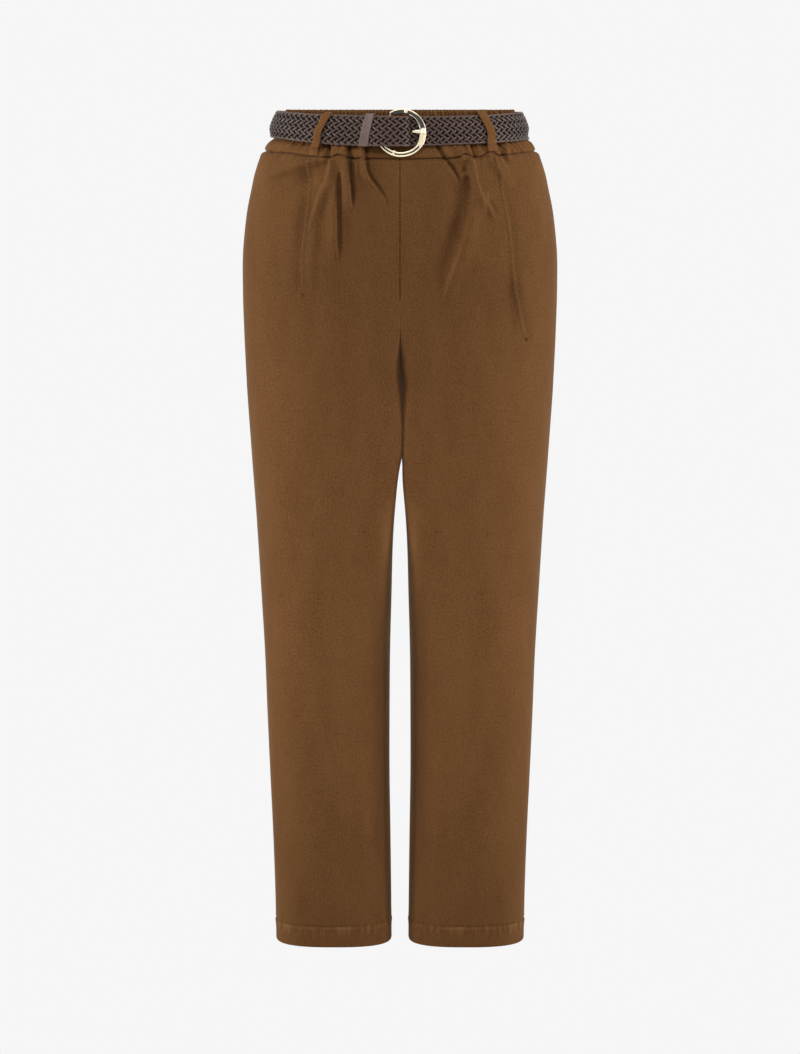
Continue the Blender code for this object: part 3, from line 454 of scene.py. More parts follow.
# %% Folds below the waist
FOLDS = {
    # a path of (x, z), height, width towards the centre and towards the side, fade in, fade out
    "front_right": (
        (((62, -2), (61, -20), (59, -45), (57.5, -70), (56, -100)), 4.6, 2.2, 9.0, 6, 50),
        (((58.6, -2), (57.8, -20), (55.8, -45), (54, -66), (53, -84)), -5.6, 1.6, 1.9, 6, 18),
        (((75.5, -2), (77, -21), (79.6, -41), (83.3, -55), (90.8, -69), (99, -95), (108, -122)),
         3.8, 7.5, 2.8, 8, 60),
        (((82, -2), (81, -12), (79.8, -24), (81.5, -34)), -3.8, 1.7, 3.2, 4, 16),
        (((69, -36), (69.6, -64), (70.4, -92), (70.2, -122), (69, -150)), -4.2, 2.6, 1.5, 18, 44),
        (((72.6, -42), (73.2, -70), (73.8, -100), (73.4, -128), (72, -156)), 3.0, 1.7, 8.0, 18, 44),
        (((60, -78), (59, -112), (61, -156)), -1.8, 8.0, 8.0, 24, 44),
        (((42.5, -2), (42, -24), (39.8, -40), (36.6, -48), (29, -58), (21, -70)),
         4.6, 1.7, 5.0, 6, 36),
        (((39, -2), (38.8, -26), (36.8, -42), (33, -50), (24, -60), (15.7, -71), (9, -96)),
         -3.6, 1.9, 1.6, 6, 50),
        (((50, -14), (49.4, -40), (47.5, -66)), 3.0, 4.5, 2.0, 8, 34),
        (((80, -24), (105, -32), (128, -39), (149, -46), (170, -56)), 5.2, 7.0, 6.0, 8, 44),
        (((90, -48), (110, -53), (132, -62)), -3.4, 9.0, 7.0, 14, 28),
        (((118, -60), (124, -100), (124, -150)), 1.2, 12.0, 14.0, 30, 40),
        (((154, -285), (146, -284), (138, -283)), -0.7, 2.5, 2.5, 6, 6),
        (((136, -20), (140, -38)), -1.6, 2.0, 3.0, 2, 14),
        (((149, -18), (154, -32)), -1.8, 2.0, 2.8, 2, 12),
        (((88, -128), (84, -170), (80, -220)), 1.3, 14.0, 16.0, 40, 50),
        (((96, -96), (101, -140), (104, -196)), 1.6, 6.0, 11.0, 26, 44),
    ),
    "front_left": (
        (((41.5, -8), (43.5, -15), (47.5, -22), (53, -29), (58.5, -36), (63, -42), (67, -51),
          (69, -64)), -4.2, 1.8, 2.2, 4, 24),
        (((46, -6), (50, -18), (56, -27), (62, -34)), 2.8, 2.2, 6.0, 6, 14),
        (((60, -4), (66, -16), (70.5, -26), (73.5, -33)), 3.2, 8.0, 5.0, 6, 8),
        (((69, -38), (73.5, -40), (77, -45)), -3.0, 3.6, 3.6, 4, 7),
        (((75.4, -2), (78.5, -14), (82, -27), (84.6, -44), (88, -58), (92.5, -72), (99, -94)),
         4.8, 5.5, 1.8, 6, 34),
        (((79, -2), (81.2, -12), (84.4, -24), (86.6, -31)), -4.6, 1.6, 2.6, 4, 9),
        (((77, -43), (79, -58), (80.4, -77), (79, -95), (76, -114)), -4.4, 6.5, 1.9, 10, 34),
        (((83, -58), (81, -76), (79, -95), (75.6, -112), (69, -134), (57, -168), (46, -206)),
         4.4, 3.2, 13.0, 18, 60),
        (((66, -84), (61, -118), (50, -150), (40, -186)), -2.4, 11.0, 8.0, 30, 52),
        (((98, -70), (106, -83), (112, -96)), -2.0, 2.4, 2.8, 8, 12),
        (((92, -64), (103, -86), (110, -101)), 2.1, 4.0, 6.0, 10, 16),
        (((112, -8), (114.5, -14), (117.5, -21), (122, -30), (127, -41)), -3.6, 1.7, 3.2, 4, 15),
        (((118, -8), (121.5, -20), (127, -33)), 2.2, 2.2, 5.0, 6, 13),
        (((123, -8), (128, -20), (133, -29)), -2.0, 1.6, 2.4, 4, 10),
        (((138, -8), (141, -18), (144, -28)), -2.6, 1.6, 2.6, 4, 10),
        (((146, -8), (151, -26), (156, -40)), -2.4, 1.8, 3.0, 6, 14),
        (((157, -70), (162, -96), (165, -142)), 1.2, 8.0, 8.0, 20, 30),
        (((104, -28), (116, -44), (124, -66)), 2.4, 5.0, 7.0, 8, 24),
        (((69, -48), (69.5, -76), (65, -108), (57, -140)), -4.0, 13.0, 6.0, 18, 44),
        (((131, -146), (134, -180), (138, -232)), 2.2, 7.0, 11.0, 26, 40),
        (((98, -120), (92, -160), (84, -210)), 1.0, 16.0, 18.0, 40, 60),
        (((22, -206), (12, -240), (6, -276)), -1.3, 8.0, 10.0, 30, 30),
    ),
    "back": (
        (((14, -2), (15, -40), (17, -86)), 1.9, 4.0, 8.0, 8, 44),
        (((27, -2), (28, -30), (31, -58)), -1.8, 3.4, 5.0, 8, 26),
        (((38, -2), (38, -50), (41, -124)), 2.7, 6.0, 9.0, 8, 66),
        (((50, -2), (51, -34), (55, -92)), -2.3, 3.0, 6.0, 8, 44),
        (((62, -2), (63, -40), (68, -92)), 2.1, 6.0, 8.0, 8, 42),
        (((75, -2), (76, -28), (80, -54)), -1.8, 3.4, 5.0, 8, 24),
        (((87, -2), (88, -50), (95, -132)), 2.8, 5.0, 10.0, 8, 66),
        (((100, -2), (102, -34), (108, -80)), -2.4, 3.0, 6.0, 8, 36),
        (((112, -2), (114, -46), (120, -102)), 2.2, 6.0, 8.0, 8, 44),
        (((124, -2), (127, -30), (133, -62)), -2.0, 3.2, 5.0, 8, 26),
        (((134, -2), (138, -44), (146, -112)), 2.2, 5.0, 8.0, 8, 52),
        (((147, -2), (151, -28), (157, -52)), -1.8, 3.0, 4.0, 8, 22),
        (((60, -232), (96, -262), (150, -270)), -1.4, 5.0, 8.0, 34, 40),
        (((40, -262), (80, -292), (126, -304)), 1.3, 9.0, 9.0, 30, 44),
    ),
}
print("folds below the waist:", sum(len(folds) for folds in FOLDS.values()))

# %% Folds down the legs
LEG_FOLDS = {
    "front": (
        (((92, -250), (90, -400), (88, -560)), 1.3, 22.0, 24.0, 90, 120),
        (((150, -300), (146, -420), (142, -560)), 0.9, 14.0, 12.0, 80, 120),
        (((60, -360), (56, -480), (52, -640)), 0.8, 14.0, 16.0, 80, 120),
        (((48, -620), (44, -780), (40, -930)), 0.9, 9.0, 12.0, 90, 60),
        (((120, -600), (122, -760), (120, -930)), 0.8, 16.0, 16.0, 90, 60),
        (((86, -700), (84, -820), (86, -930)), -0.7, 12.0, 12.0, 80, 60),
        (((19.5, -560), (18.5, -760), (17.0, -946)), -0.8, 1.6, 1.6, 60, 4),
        (((23.0, -560), (22.0, -760), (20.5, -946)), 0.5, 1.8, 2.6, 60, 4),
    ),
    "back": (
        (((88, -300), (92, -440), (88, -600)), 1.3, 22.0, 22.0, 90, 120),
        (((126, -330), (118, -410), (96, -470)), -1.6, 10.0, 12.0, 50, 60),
        (((52, -350), (70, -430), (104, -480)), -1.4, 10.0, 10.0, 50, 60),
        (((58, -560), (50, -720), (46, -900)), 1.1, 14.0, 16.0, 90, 80),
        (((112, -560), (116, -740), (112, -920)), 1.0, 16.0, 14.0, 90, 80),
        (((84, -640), (80, -800), (84, -930)), -0.9, 12.0, 12.0, 80, 60),
    ),
}
print("folds down the legs:", sum(len(folds) for folds in LEG_FOLDS.values()))

# %% The lift of a fold
def fold_height(folds, x, z):
    """How far these folds lift the surface at points with these coordinates in the front view."""
    total = np.zeros_like(x)
    for path, height, centre_side, outer_side, fade_in, fade_out in folds:
        nearest = np.full_like(x, 1e9)
        signed, reached, length = np.zeros_like(x), np.zeros_like(x), 0.0
        for (x0, z0), (x1, z1) in zip(path, path[1:]):
            run = math.hypot(x1 - x0, z1 - z0)
            dx, dz = (x1 - x0) / run, (z1 - z0) / run
            t = np.clip((x - x0) * dx + (z - z0) * dz, 0, run)
            away = np.hypot(x - x0 - t * dx, z - z0 - t * dz)
            side = dx * (z - z0) - dz * (x - x0)
            closer = away < nearest
            nearest = np.where(closer, away, nearest)
            signed = np.where(closer, side, signed)
            reached = np.where(closer, length + t, reached)
            length += run
        width = np.where(signed > 0, outer_side, centre_side)
        shape = height * np.exp(-((nearest / width) ** 2) * 1.1) * smooth_step(reached / fade_in)
        total += shape * smooth_step((length - reached) / fade_out)
    return total


def bump_at(distance, width):
    """1 at distance 0, fading to nothing on both sides."""
    return np.exp(-((distance / width) ** 2))


SEAM_RISE = {
    # x, rise and width: where a tuck pulls the waist seam up
    "front_right": ((68.0, 3.6, 7.5), (128.0, 1.4, 14.0)),
    "front_left": ((73.5, 4.2, 5.5), (104.0, 5.4, 7.5), (137.0, 0.8, 6.0)),
    "back": ((38.0, 1.2, 7.0), (87.0, 1.2, 8.0)),
}


def seam_rise(piece, x, height):
    rise = sum(tall * bump_at(x - place, width) for place, tall, width in SEAM_RISE[piece])
    return rise * bump_at(height - WAIST_SEAM, 8.0)


print("places where a tuck lifts the seam:", sum(len(tucks) for tucks in SEAM_RISE.values()))

# %% [markdown]
# ## Panels, row by row
# Each panel of cloth is a grid: its rows are the sections from the waist seam to the hem, and its
# columns run from the centre seam or the inside leg to the side seam. Where two panels are sewn,
# both dip into the seam, and rows and columns lie closer there, so that the seam shows as a fine
# line. The hem's edge turns up inside by its own depth, as a sewn hem does.

# %% Rows of a panel
HEM_STITCH = -949.0
FOLD_STRENGTH = {-1: 1.3, 1: 1.1}  # front, back
PRESS = 2.6  # how far the thighs press into each other, which flattens both where they touch
HEM_TURN = 1.15  # half of the doubled hem's thickness
SHELL = 1.1  # thickness of one layer of cloth


def panel_rows():
    """Each row's height at the side seam, its turn, and how far inside the outer face it lies."""
    near_seam = [0.0, 0.6, 1.2, 1.9, 2.8, 4.2]
    rows = [(WAIST_SEAM, 0.0, 1.2)] + [(WAIST_SEAM - d, 0.0, 0.0) for d in near_seam]
    rows += [(z, 0.0, 0.0) for z in np.linspace(WAIST_SEAM - 5.8, FORK_TOP, 82)]
    side_end = FORK - SIDE_TILT
    rows += [(FORK_TOP + (side_end - FORK_TOP) * k / 40, 90.0 * k / 40, 0.0) for k in range(1, 41)]
    rows += [(z, 90.0, 0.0) for z in np.linspace(side_end, -930.0, 72)[1:]]
    rows += [(z, 90.0, 0.0) for z in np.linspace(-930.0, HEM + HEM_TURN, 34)[1:]]
    for k in range(1, 7):
        angle = math.pi * k / 6
        drop = HEM + HEM_TURN - HEM_TURN * math.sin(angle)
        rows.append((drop, 90.0, HEM_TURN * (1 - math.cos(angle))))
    rows += [(z, 90.0, 2 * HEM_TURN) for z in np.linspace(HEM + HEM_TURN, HEM + HEM_DEPTH, 6)[1:]]
    return rows


print("rows:", len(panel_rows()))

# %% A row with its folds
GRAIN_LINE = 82.0  # from the centre: the threads run straight down the middle of a leg


def cloth_place(outline, along, wanted, z):
    """Where points of a row lie on the cloth: across from the grain line, and up."""
    return np.column_stack([wanted - np.interp(GRAIN_LINE, outline[:, 0], along), z]) * MM


def uneven_wave(along, pitch, seed):
    """A wave whose crests come at uneven distances, between -1 and 1."""
    drift = 0.9 * np.sin(along / pitch * 0.9 + seed)
    drift = drift + 0.6 * np.sin(along / pitch * 1.7 + 2.3 * seed)
    return np.sin(2 * math.pi * along / pitch + drift)


def folded_outline(piece, face, height, turn):
    """A row's outline in three dimensions with its folds, and its plain lengths along it."""
    outline = half_outline(height, turn, face)
    along = lengths_along(outline)
    share = along / along[-1]
    inner_z = height
    if turn > 0:
        fork_z = FORK_TOP + (FORK - FORK_TOP) * math.sin(math.radians(turn))
        fade = np.clip(1 - (FORK - SIDE_TILT - height) / TILT_FADE, 0, 1)
        inner_z = fork_z if turn < 90 else height + SIDE_TILT * fade
    z = height + (inner_z - height) * (1 - share) ** 2
    if face < 0:
        forward = np.clip(outline[:, 1] / outline[0, 1], 0, 1)
        z = z - looked_up(DIP, 1, height) * forward**2
    x = outline[:, 0]
    z = z + seam_rise(piece, x, height)
    lift = FOLD_STRENGTH[face] * fold_height(FOLDS[piece] if height > -330 else (), x, z)
    lift += fold_height(LEG_FOLDS["front" if face < 0 else "back"], x, z)
    lift += 0.45 * uneven_wave(along, 8.5, 1.0) * bump_at(z - WAIST_SEAM + 6, 11) * (x > 52)
    below = HEM_STITCH - height
    lift += 0.5 * uneven_wave(along, 8.0, 4.0 + face) * bump_at(height - HEM_STITCH + 3, 6)
    lift += 0.3 * bump_at(below - 3.6, 2.2) - 1.0 * bump_at(below, 1.3)
    outline = outline + outward_normals(outline, face) * lift[:, None]
    pressed = PRESS * smooth_step((height + 384) / 20) if turn > 0 else 0.0
    outline[:, 0] = np.maximum(outline[:, 0] - pressed * bump_at(x, 14), 0.0)
    return np.column_stack([outline, z]), along


print("points in a row:", len(folded_outline("back", 1, -500.0, 90.0)[1]))

# %% Seams
def spread(start, end, count, crowd=0.0):
    """Places along a row, with extra ones beside its ends, which are seams, and in its middle."""
    near = np.array([0.0, 0.7, 1.5, 2.6])
    share = np.linspace(0, 1, count - 6)[1:-1]
    share = share + crowd * np.sin(2 * np.pi * share) / (2 * np.pi)
    first, last = start + near, end - near[::-1]
    return np.concatenate([first, first[-1] + share * (last[0] - first[-1]), last])


def seam_dip(distance):
    """The fine valley of a seam, with the slight swell of its pressed edge beside it."""
    return -1.1 * bump_at(distance, 1.05) + 0.22 * bump_at(distance - 3.4, 1.6)


def waist_dip(distance):
    """The waist seam's valley, deeper than the others, because the cloth is gathered into it."""
    valley = -2.4 * bump_at(distance, 0.9) - 0.7 * bump_at(distance, 2.2)
    return valley + 0.6 * bump_at(distance - 4.4, 1.9)


def inseam_share(height, turn):
    """The seam at the inner edge shows on the hips and on the legs, but not where thighs touch."""
    return 1.0 if turn == 0 else float(smooth_step((-height - 390) / 20))


print("valleys, in mm:", round(-seam_dip(0.0), 1), "and at the waist", round(-waist_dip(0.0), 1))

# %% [markdown]
# ## Sheets of cloth from grids
# Blender's grid is a flat sheet of squares. Its corners are carried one by one to their places on
# the garment, and the UV map keeps where each of them lies on the cloth, in metres. The Solidify
# modifier then gives the sheet its thickness towards the inside, so the outer face stays where it
# was put.

# %% From grid to shell
def add_sheet(bm, points, uv=None):
    """Add a grid of squares to a bmesh, with its corners at these points."""
    points = np.array(points)
    rows, columns = points.shape[:2]
    uv = np.zeros((rows, columns, 2)) if uv is None else np.array(uv)
    layer = bm.loops.layers.uv.verify()
    segments = {"x_segments": columns - 1, "y_segments": rows - 1}
    made = bmesh.ops.create_grid(bm, size=0.5, **segments)["verts"]
    place = {}
    for vert in made:
        row, column = (0.5 - vert.co.y) * (rows - 1), (vert.co.x + 0.5) * (columns - 1)
        place[vert] = (round(row), round(column))
    for vert, corner in place.items():
        vert.co = points[corner]
    for face in {face for vert in made for face in vert.link_faces}:
        for loop in face.loops:
            loop[layer].uv = uv[place[loop.vert]]
    return made


def close_ends(bm):
    bmesh.ops.holes_fill(bm, edges=[edge for edge in bm.edges if edge.is_boundary], sides=0)
    bmesh.ops.recalc_face_normals(bm, faces=bm.faces)


# %% Finishing a piece
def finish_piece(name, bm, material, outward=None, shell=0.0, replaces=()):
    """Scale to metres, make the object, give it its wall, hang it from the root body's empty and
    hide the solids that it replaces.
    """
    bmesh.ops.scale(bm, vec=(MM, MM, MM), verts=bm.verts)
    if outward is not None:
        bm.normal_update()
        if sum(face.normal.dot(outward(face.calc_center_median())) for face in bm.faces) < 0:
            bmesh.ops.reverse_faces(bm, faces=bm.faces)
    mesh = bpy.data.meshes.new(name)
    bm.to_mesh(mesh)
    bm.free()
    if mesh.uv_layers:
        mesh.uv_layers[0].name = "cloth"
    mesh.shade_smooth()
    mesh.materials.append(material)
    piece = bpy.data.objects.new(name, mesh)
    scene.collection.objects.link(piece)
    if shell:
        wall = piece.modifiers.new("wall", "SOLIDIFY")
        wall.thickness = shell * MM
        wall.offset = -1.0
        wall.use_even_offset = False
    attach(piece, "root")
    if replaces:
        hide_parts(*replaces)
    print(name, len(mesh.polygons), "faces")
    return piece


# %% Left and right
SIGNS = {"right": -1, "left": 1}  # the wearer's right lies at negative x


def mirrored(side, grid):
    """The left side's grid as it is, or turned over for the wearer's right.

    The crease between the thighs wanders a little to the left, as one thigh rests on the other.
    """
    grid = grid.copy()
    if side == "right":
        grid = grid[:, ::-1].copy()
        grid[:, :, 0] *= -1
    x, z = grid[:, :, 0], grid[:, :, 2]
    wander = 3.2 * bump_at(x, 26) * smooth_step((-255 - z) / 36)
    grid[:, :, 0] += wander * smooth_step((z + 410) / 60)
    return grid


def leg_outward(side):
    """Away from the middle line of the hips or of this side's leg."""

    def outward(place):
        if place.z < -0.3:
            return Vector((place.x - SIGNS[side] * 0.085, place.y, 0.0))
        return Vector((place.x * 0.3, place.y, 0.0))

    return outward


def sewn_panel(name, side, parts, material, shell, node):
    """A piece of cloth from parts that are each a list of rows with their places on the cloth."""
    bm = bmesh.new()
    for part in parts:
        points, uv = (np.array(rows) for rows in zip(*part))
        add_sheet(bm, mirrored(side, points), uv if side == "left" else uv[:, ::-1])
    if len(parts) > 1:
        bmesh.ops.remove_doubles(bm, verts=bm.verts, dist=0.02)
    return finish_piece(
        f"{name}_{side}_cloth", bm, material, leg_outward(side), shell, [f"{node}_{side}"]
    )


print("sides:", *SIGNS)

# %% [markdown]
# ## The backs
# The backs are the simplest panels: no pockets, a centre seam, and soft folds that hang from the
# elastic across the back. They are made first, because the fronts follow the same steps with a
# pocket added.

# %% Back panels
BACK_COLUMNS = 96


def back_panel(side):
    part = []
    for height, turn, inside in panel_rows():
        outline, along = folded_outline("back", 1, height, turn)
        wanted = spread(0.0, along[-1], BACK_COLUMNS)
        row = points_at(outline, along, wanted)
        normal = outward_normals(row, 1)
        inseam = seam_dip(wanted) * inseam_share(height, turn)
        lift = inseam + seam_dip(along[-1] - wanted) + waist_dip(WAIST_SEAM - height) - inside
        row[:, :2] += normal * lift[:, None]
        part.append((row, cloth_place(outline, along, wanted, row[:, 2] - inside * 9)))
    return sewn_panel("back", side, [part], CLOTH, SHELL, "back_panel")


backs = {side: back_panel(side) for side in SIGNS}

# %% [markdown]
# ## The fronts and their pockets
# A slant pocket is a slit in the front, from the waist seam to a bar tack. The edge towards the
# centre is folded and lies on top; the edge towards the side goes under it. So a front is two
# grids, one on each side of the slit, which share one line of corners below it. Below the waist
# the left slit gapes a little, as it does on a hip.

# %% Pocket mouths
POCKET_MOUTH = {
    "right": (
        # height, in from the side seam, how far the edges stand apart
        (-20.0, 101.5, 0.3), (-60.0, 120.0, 0.4), (-110.0, 127.0, 0.4), (-160.0, 128.0, 1.0),
        (-176.0, 128.5, 1.2), (-190.0, 129.0, 0.2), (-230.0, 128.0, 0.0),
    ),
    "left": (
        (-20.0, 95.0, 0.4), (-60.0, 106.0, 0.6), (-110.0, 108.5, 0.8), (-160.0, 109.0, 1.5),
        (-182.0, 105.5, 3.4), (-205.0, 98.5, 1.8), (-232.0, 89.0, 0.2), (-270.0, 80.0, 0.0),
    ),
}
MOUTH_END = {"right": -186.0, "left": -238.0}
MOUTH_LAP = 3.2  # how far the outer edge runs on under the inner one
INNER_COLUMNS, OUTER_COLUMNS = 132, 54


def mouth_strength(side, height):
    """1 along the mouth, fading to 0 at its end."""
    return float(smooth_step((height - MOUTH_END[side]) / 16.0))


def pucker(height, seed):
    """The small uneven ripples that stitching leaves along the mouth's edge."""
    return float(uneven_wave(np.array(height), 6.2, seed))


print("mouths end at", MOUTH_END)

# %% Fronts
def front_row(side, height, turn, inside):
    """The two parts of a front's row: points and places along it."""
    outline, along = folded_outline(f"front_{side}", -1, height, turn)
    end = along[-1]
    mouth = end - looked_up(POCKET_MOUTH[side], 1, height)
    apart = max(looked_up(POCKET_MOUTH[side], 2, height), 0.0)
    strength = mouth_strength(side, height)
    mouth += strength * 0.5 * pucker(height, 2.0)
    inner_edge = mouth - strength * apart / 2
    outer_edge = mouth - strength * (MOUTH_LAP - apart)
    parts = []
    for wanted, is_inner in (
        (spread(0.0, inner_edge, INNER_COLUMNS, 0.45), True),
        (spread(outer_edge, end, OUTER_COLUMNS), False),
    ):
        row = points_at(outline, along, wanted)
        normal = outward_normals(row, -1)
        seam = seam_dip(wanted) * inseam_share(height, turn) if is_inner else seam_dip(end - wanted)
        lift = seam + waist_dip(WAIST_SEAM - height) - inside
        away = np.abs(wanted - mouth)
        if is_inner:
            swell = 0.45 + 0.55 * apart + 0.45 * pucker(height, 5.0)
            lift += strength * swell * bump_at(away, 5.0)
            lift -= strength * 0.5 * bump_at(inner_edge - wanted, 0.9)
            lift -= strength * 0.35 * bump_at(inner_edge - 5.5 - wanted, 0.9)
        else:
            under = bump_at(np.maximum(wanted - mouth - 1.0, 0.0), 6.0)
            lift -= strength * (1.3 + 0.7 * apart) * under
        row[:, :2] += normal * lift[:, None]
        parts.append((row, cloth_place(outline, along, wanted, row[:, 2] - inside * 9)))
    return parts


def front_panel(side):
    rows = [front_row(side, height, turn, inside) for height, turn, inside in panel_rows()]
    return sewn_panel("front", side, list(zip(*rows)), CLOTH, SHELL, "front_panel")


fronts = {side: front_panel(side) for side in SIGNS}

# %% [markdown]
# ## The pocket facings
# Behind each mouth lies a strip of the same cloth, so that no lining shows when the pocket gapes.
# It is the front's own surface moved in by a few millimetres, which keeps it clear of both edges
# everywhere. Its colour is the cloth's at 0.6 of the brightness: painted shade for the recess.

# %% Pocket facings
FACING_RECESS = 4.6


def pocket_facing(side):
    part = []
    for height, turn, _ in panel_rows():
        if height < MOUTH_END[side] - 14:
            break
        outline, along = folded_outline(f"front_{side}", -1, height, turn)
        mouth = along[-1] - looked_up(POCKET_MOUTH[side], 1, height)
        wanted = np.linspace(mouth - 15, mouth + 15, 16)
        row = points_at(outline, along, wanted)
        row[:, :2] -= outward_normals(row, -1) * FACING_RECESS
        part.append((row, cloth_place(outline, along, wanted, row[:, 2])))
    return sewn_panel("facing", side, [part], SHADED_CLOTH, 1.0, "pocket_facing")


facings = {side: pocket_facing(side) for side in SIGNS}

# %% [markdown]
# ## The waistband
# A paperbag waist is a band of doubled cloth that elastic draws together, so it stands in fine
# upright ribs with narrow valleys between them. The belt presses the ribs flat where it lies. The
# ribs come at uneven distances, and below the belt the band is smooth across the front and takes
# up the tucks of the fronts, which run into it.

# %% Places round the waist
HALVES = {face: half_outline(0.0, 0.0, face) for face in (-1, 1)}
HALF_LENGTHS = {face: lengths_along(half) for face, half in HALVES.items()}
FRONT_LENGTH, BACK_LENGTH = HALF_LENGTHS[-1][-1], HALF_LENGTHS[1][-1]
ROUND = 2 * (FRONT_LENGTH + BACK_LENGTH)


def wrapped(along):
    """The same place round the waist, from minus half a round to half a round."""
    return (along + ROUND / 2) % ROUND - ROUND / 2


def waist_points(along, height, standoff):
    """Points off the waist, their outward normals, and how far forward each lies, from 0 to 1.

    along is measured round the waist from the centre front towards the wearer's left, and height is
    the height that a point would have at the side seam.
    """
    along = wrapped(np.asarray(along, float))
    mirror = np.where(along < 0, -1.0, 1.0)
    distance = np.abs(along)
    is_front = distance <= FRONT_LENGTH
    near = []
    for step in (-1.0, 0.0, 1.0):
        in_front = np.clip(distance + step, 0, FRONT_LENGTH)
        behind = np.clip(ROUND / 2 - distance + step, 0, BACK_LENGTH)
        front = points_at(HALVES[-1], HALF_LENGTHS[-1], in_front)
        back = points_at(HALVES[1], HALF_LENGTHS[1], behind)
        near.append(np.where(is_front[:, None], front, back))
    normal = unit(np.where(is_front, -1.0, 1.0)[:, None] * quarter_turn(near[2] - near[0]))
    normal[:, 0] *= mirror
    height = np.broadcast_to(np.asarray(height, float), along.shape).tolist()
    levels = {h: [looked_up(PELVIS, column, h) for column in (1, 2, 3)] for h in {0.0, *height}}
    grown = np.array([levels[h] for h in height]) / levels[0.0]
    deep = np.where(is_front, grown[:, 1], grown[:, 2])
    place = near[1] * np.column_stack([mirror * grown[:, 0], deep])
    place = place + normal * np.reshape(standoff, (-1, 1))
    forward = np.where(is_front, np.clip(near[1][:, 1] / HALVES[-1][0, 1], 0, 1), 0.0)
    return place, normal, forward**2


print("round the waist:", round(ROUND), "mm")

# %% Ribs and gathers
BAND_DEPTH = 2.6
BAND_DIP = ((28.0, 1.2), (10.0, 4.5), (-20.0, 8.0))  # at the centre front


def valleys(pitch, seed):
    """Uneven places of valleys between ribs, once round the waist."""
    places, place, k = [-ROUND / 2], -ROUND / 2, 0
    while place < ROUND / 2:
        k += 1
        place += pitch * (1 + 0.30 * math.sin(2.4 * k + seed) + 0.16 * math.sin(5.3 * k + 1))
        places.append(place)
    return np.array(places)


RIBS, GATHERS = valleys(4.5, 0.0), valleys(7.6, 2.0)


def ribs(along, places, crest):
    """0 in the valleys and about 1 on the crests; a larger crest is flatter and broader."""
    along = wrapped(np.asarray(along))
    i = np.clip(np.searchsorted(places, along) - 1, 0, len(places) - 2)
    t = (along - places[i]) / (places[i + 1] - places[i])
    return (1 - np.abs(2 * t - 1) ** crest) * (0.78 + 0.22 * np.sin(3.1 * i))


def band_lift(along, height, x, z, back):
    """How far the outer face of the band stands out from its plain shape."""
    top = smooth_step((height - 11.0) / 9.0) * 3.8
    # how far down the gathers reach
    reach = np.where(along < 0, 15.0, 21.0) + 2.5 * np.sin(along / 7.0)
    low = smooth_step((-4.0 - height) / 3.0) * smooth_step((height + reach) / 8.0)
    low = low * (2.7 + 1.3 * (along > 104)) * smooth_step((np.abs(along) - 48.0) / 30.0)
    slanted = along + (height + 8) * 0.35 * np.sin(along / 19.0)
    lift = (top + 0.25) * (ribs(along, RIBS, 1.9) - 0.66)
    lift = lift + low * (ribs(slanted, GATHERS, 4.0) - 0.8)
    lift = lift + 0.35 * np.sin(along / 9.0) * smooth_step((-6.0 - height) / 6.0)
    lift = lift + 3.2 * bump_at(height + 9.5, 4.5) * smooth_step((np.abs(x) - 112) / 28)
    under_belt = smooth_step((-2.0 - height) / 5.0)
    for side, sign in SIGNS.items():
        folds = FOLDS["back" if back else f"front_{side}"]
        lift += under_belt * fold_height(folds, x * sign, z) * (x * sign > 0)
    return lift


print("ribs:", len(RIBS), "gathers:", len(GATHERS))

# %% Waistband
def rounded_top(outer, inner, along):
    """Five rows that carry the band over its upper edge."""
    rows = []
    for k in range(1, 6):
        angle = math.pi * k / 6
        share = (1 - math.cos(angle)) / 2
        row = outer * (1 - share) + inner * share
        row[:, 2] += math.sin(angle) * (2.4 + 0.7 * (ribs(along, RIBS, 3.0) - 0.6))
        rows.append(row)
    return rows


def waistband(name, start, end, back, node):
    along = np.linspace(start, end, round((end - start) / 0.72))
    heights = [WAIST_SEAM + d for d in (0.0, 0.6, 1.2, 1.9, 2.8)]
    heights += list(np.linspace(-15.5, 25.4, 27))
    seam = seam_dip(np.minimum(along - start, end - along))
    outer, inner = [], []
    for height in heights:
        place, normal, forward = waist_points(along, height, 0.0)
        drawn_in = 5.0 * smooth_step((height - 16) / 10) * (np.abs(place[:, 0]) / 140) ** 6
        place = place - normal * drawn_in[:, None]
        z = height - looked_up(BAND_DIP, 1, height) * forward
        for side, sign in SIGNS.items():
            x = place[:, 0] * sign
            z = z + seam_rise("back" if back else f"front_{side}", x, height) * (x > 0)
        lift = band_lift(along, height, place[:, 0], z, back) + waist_dip(height - WAIST_SEAM)
        lift = lift + seam
        sunk = -BAND_DEPTH + 0.55 * (lift - seam) * smooth_step((height - 8) / 10)
        sunk = np.minimum(sunk, lift - 0.9)
        outer.append(np.column_stack([place + normal * lift[:, None], z]))
        inner.append(np.column_stack([place + normal * sunk[:, None], z]))
    rows = outer + rounded_top(outer[-1], inner[-1], along) + inner[::-1] + [outer[0]]
    steps = [float(np.linalg.norm(b - a, axis=1).mean()) for a, b in zip(rows, rows[1:])]
    down = np.cumsum([0.0] + steps)
    uv = np.stack([np.column_stack([along * 1.15, np.full_like(along, -d)]) for d in down]) * MM
    bm = bmesh.new()
    add_sheet(bm, rows, uv)
    bmesh.ops.remove_doubles(bm, verts=bm.verts, dist=0.005)
    close_ends(bm)
    # The band takes the lit copy of the cloth, with painted light.
    return finish_piece(name, bm, BAND_LIT_CLOTH, replaces=[node])


bands = {
    "front": waistband(
        "band_front_cloth", -FRONT_LENGTH, FRONT_LENGTH, False, "waistband_front"
    ),
    "back": waistband(
        "band_back_cloth", FRONT_LENGTH, ROUND - FRONT_LENGTH, True, "waistband_back"
    ),
}

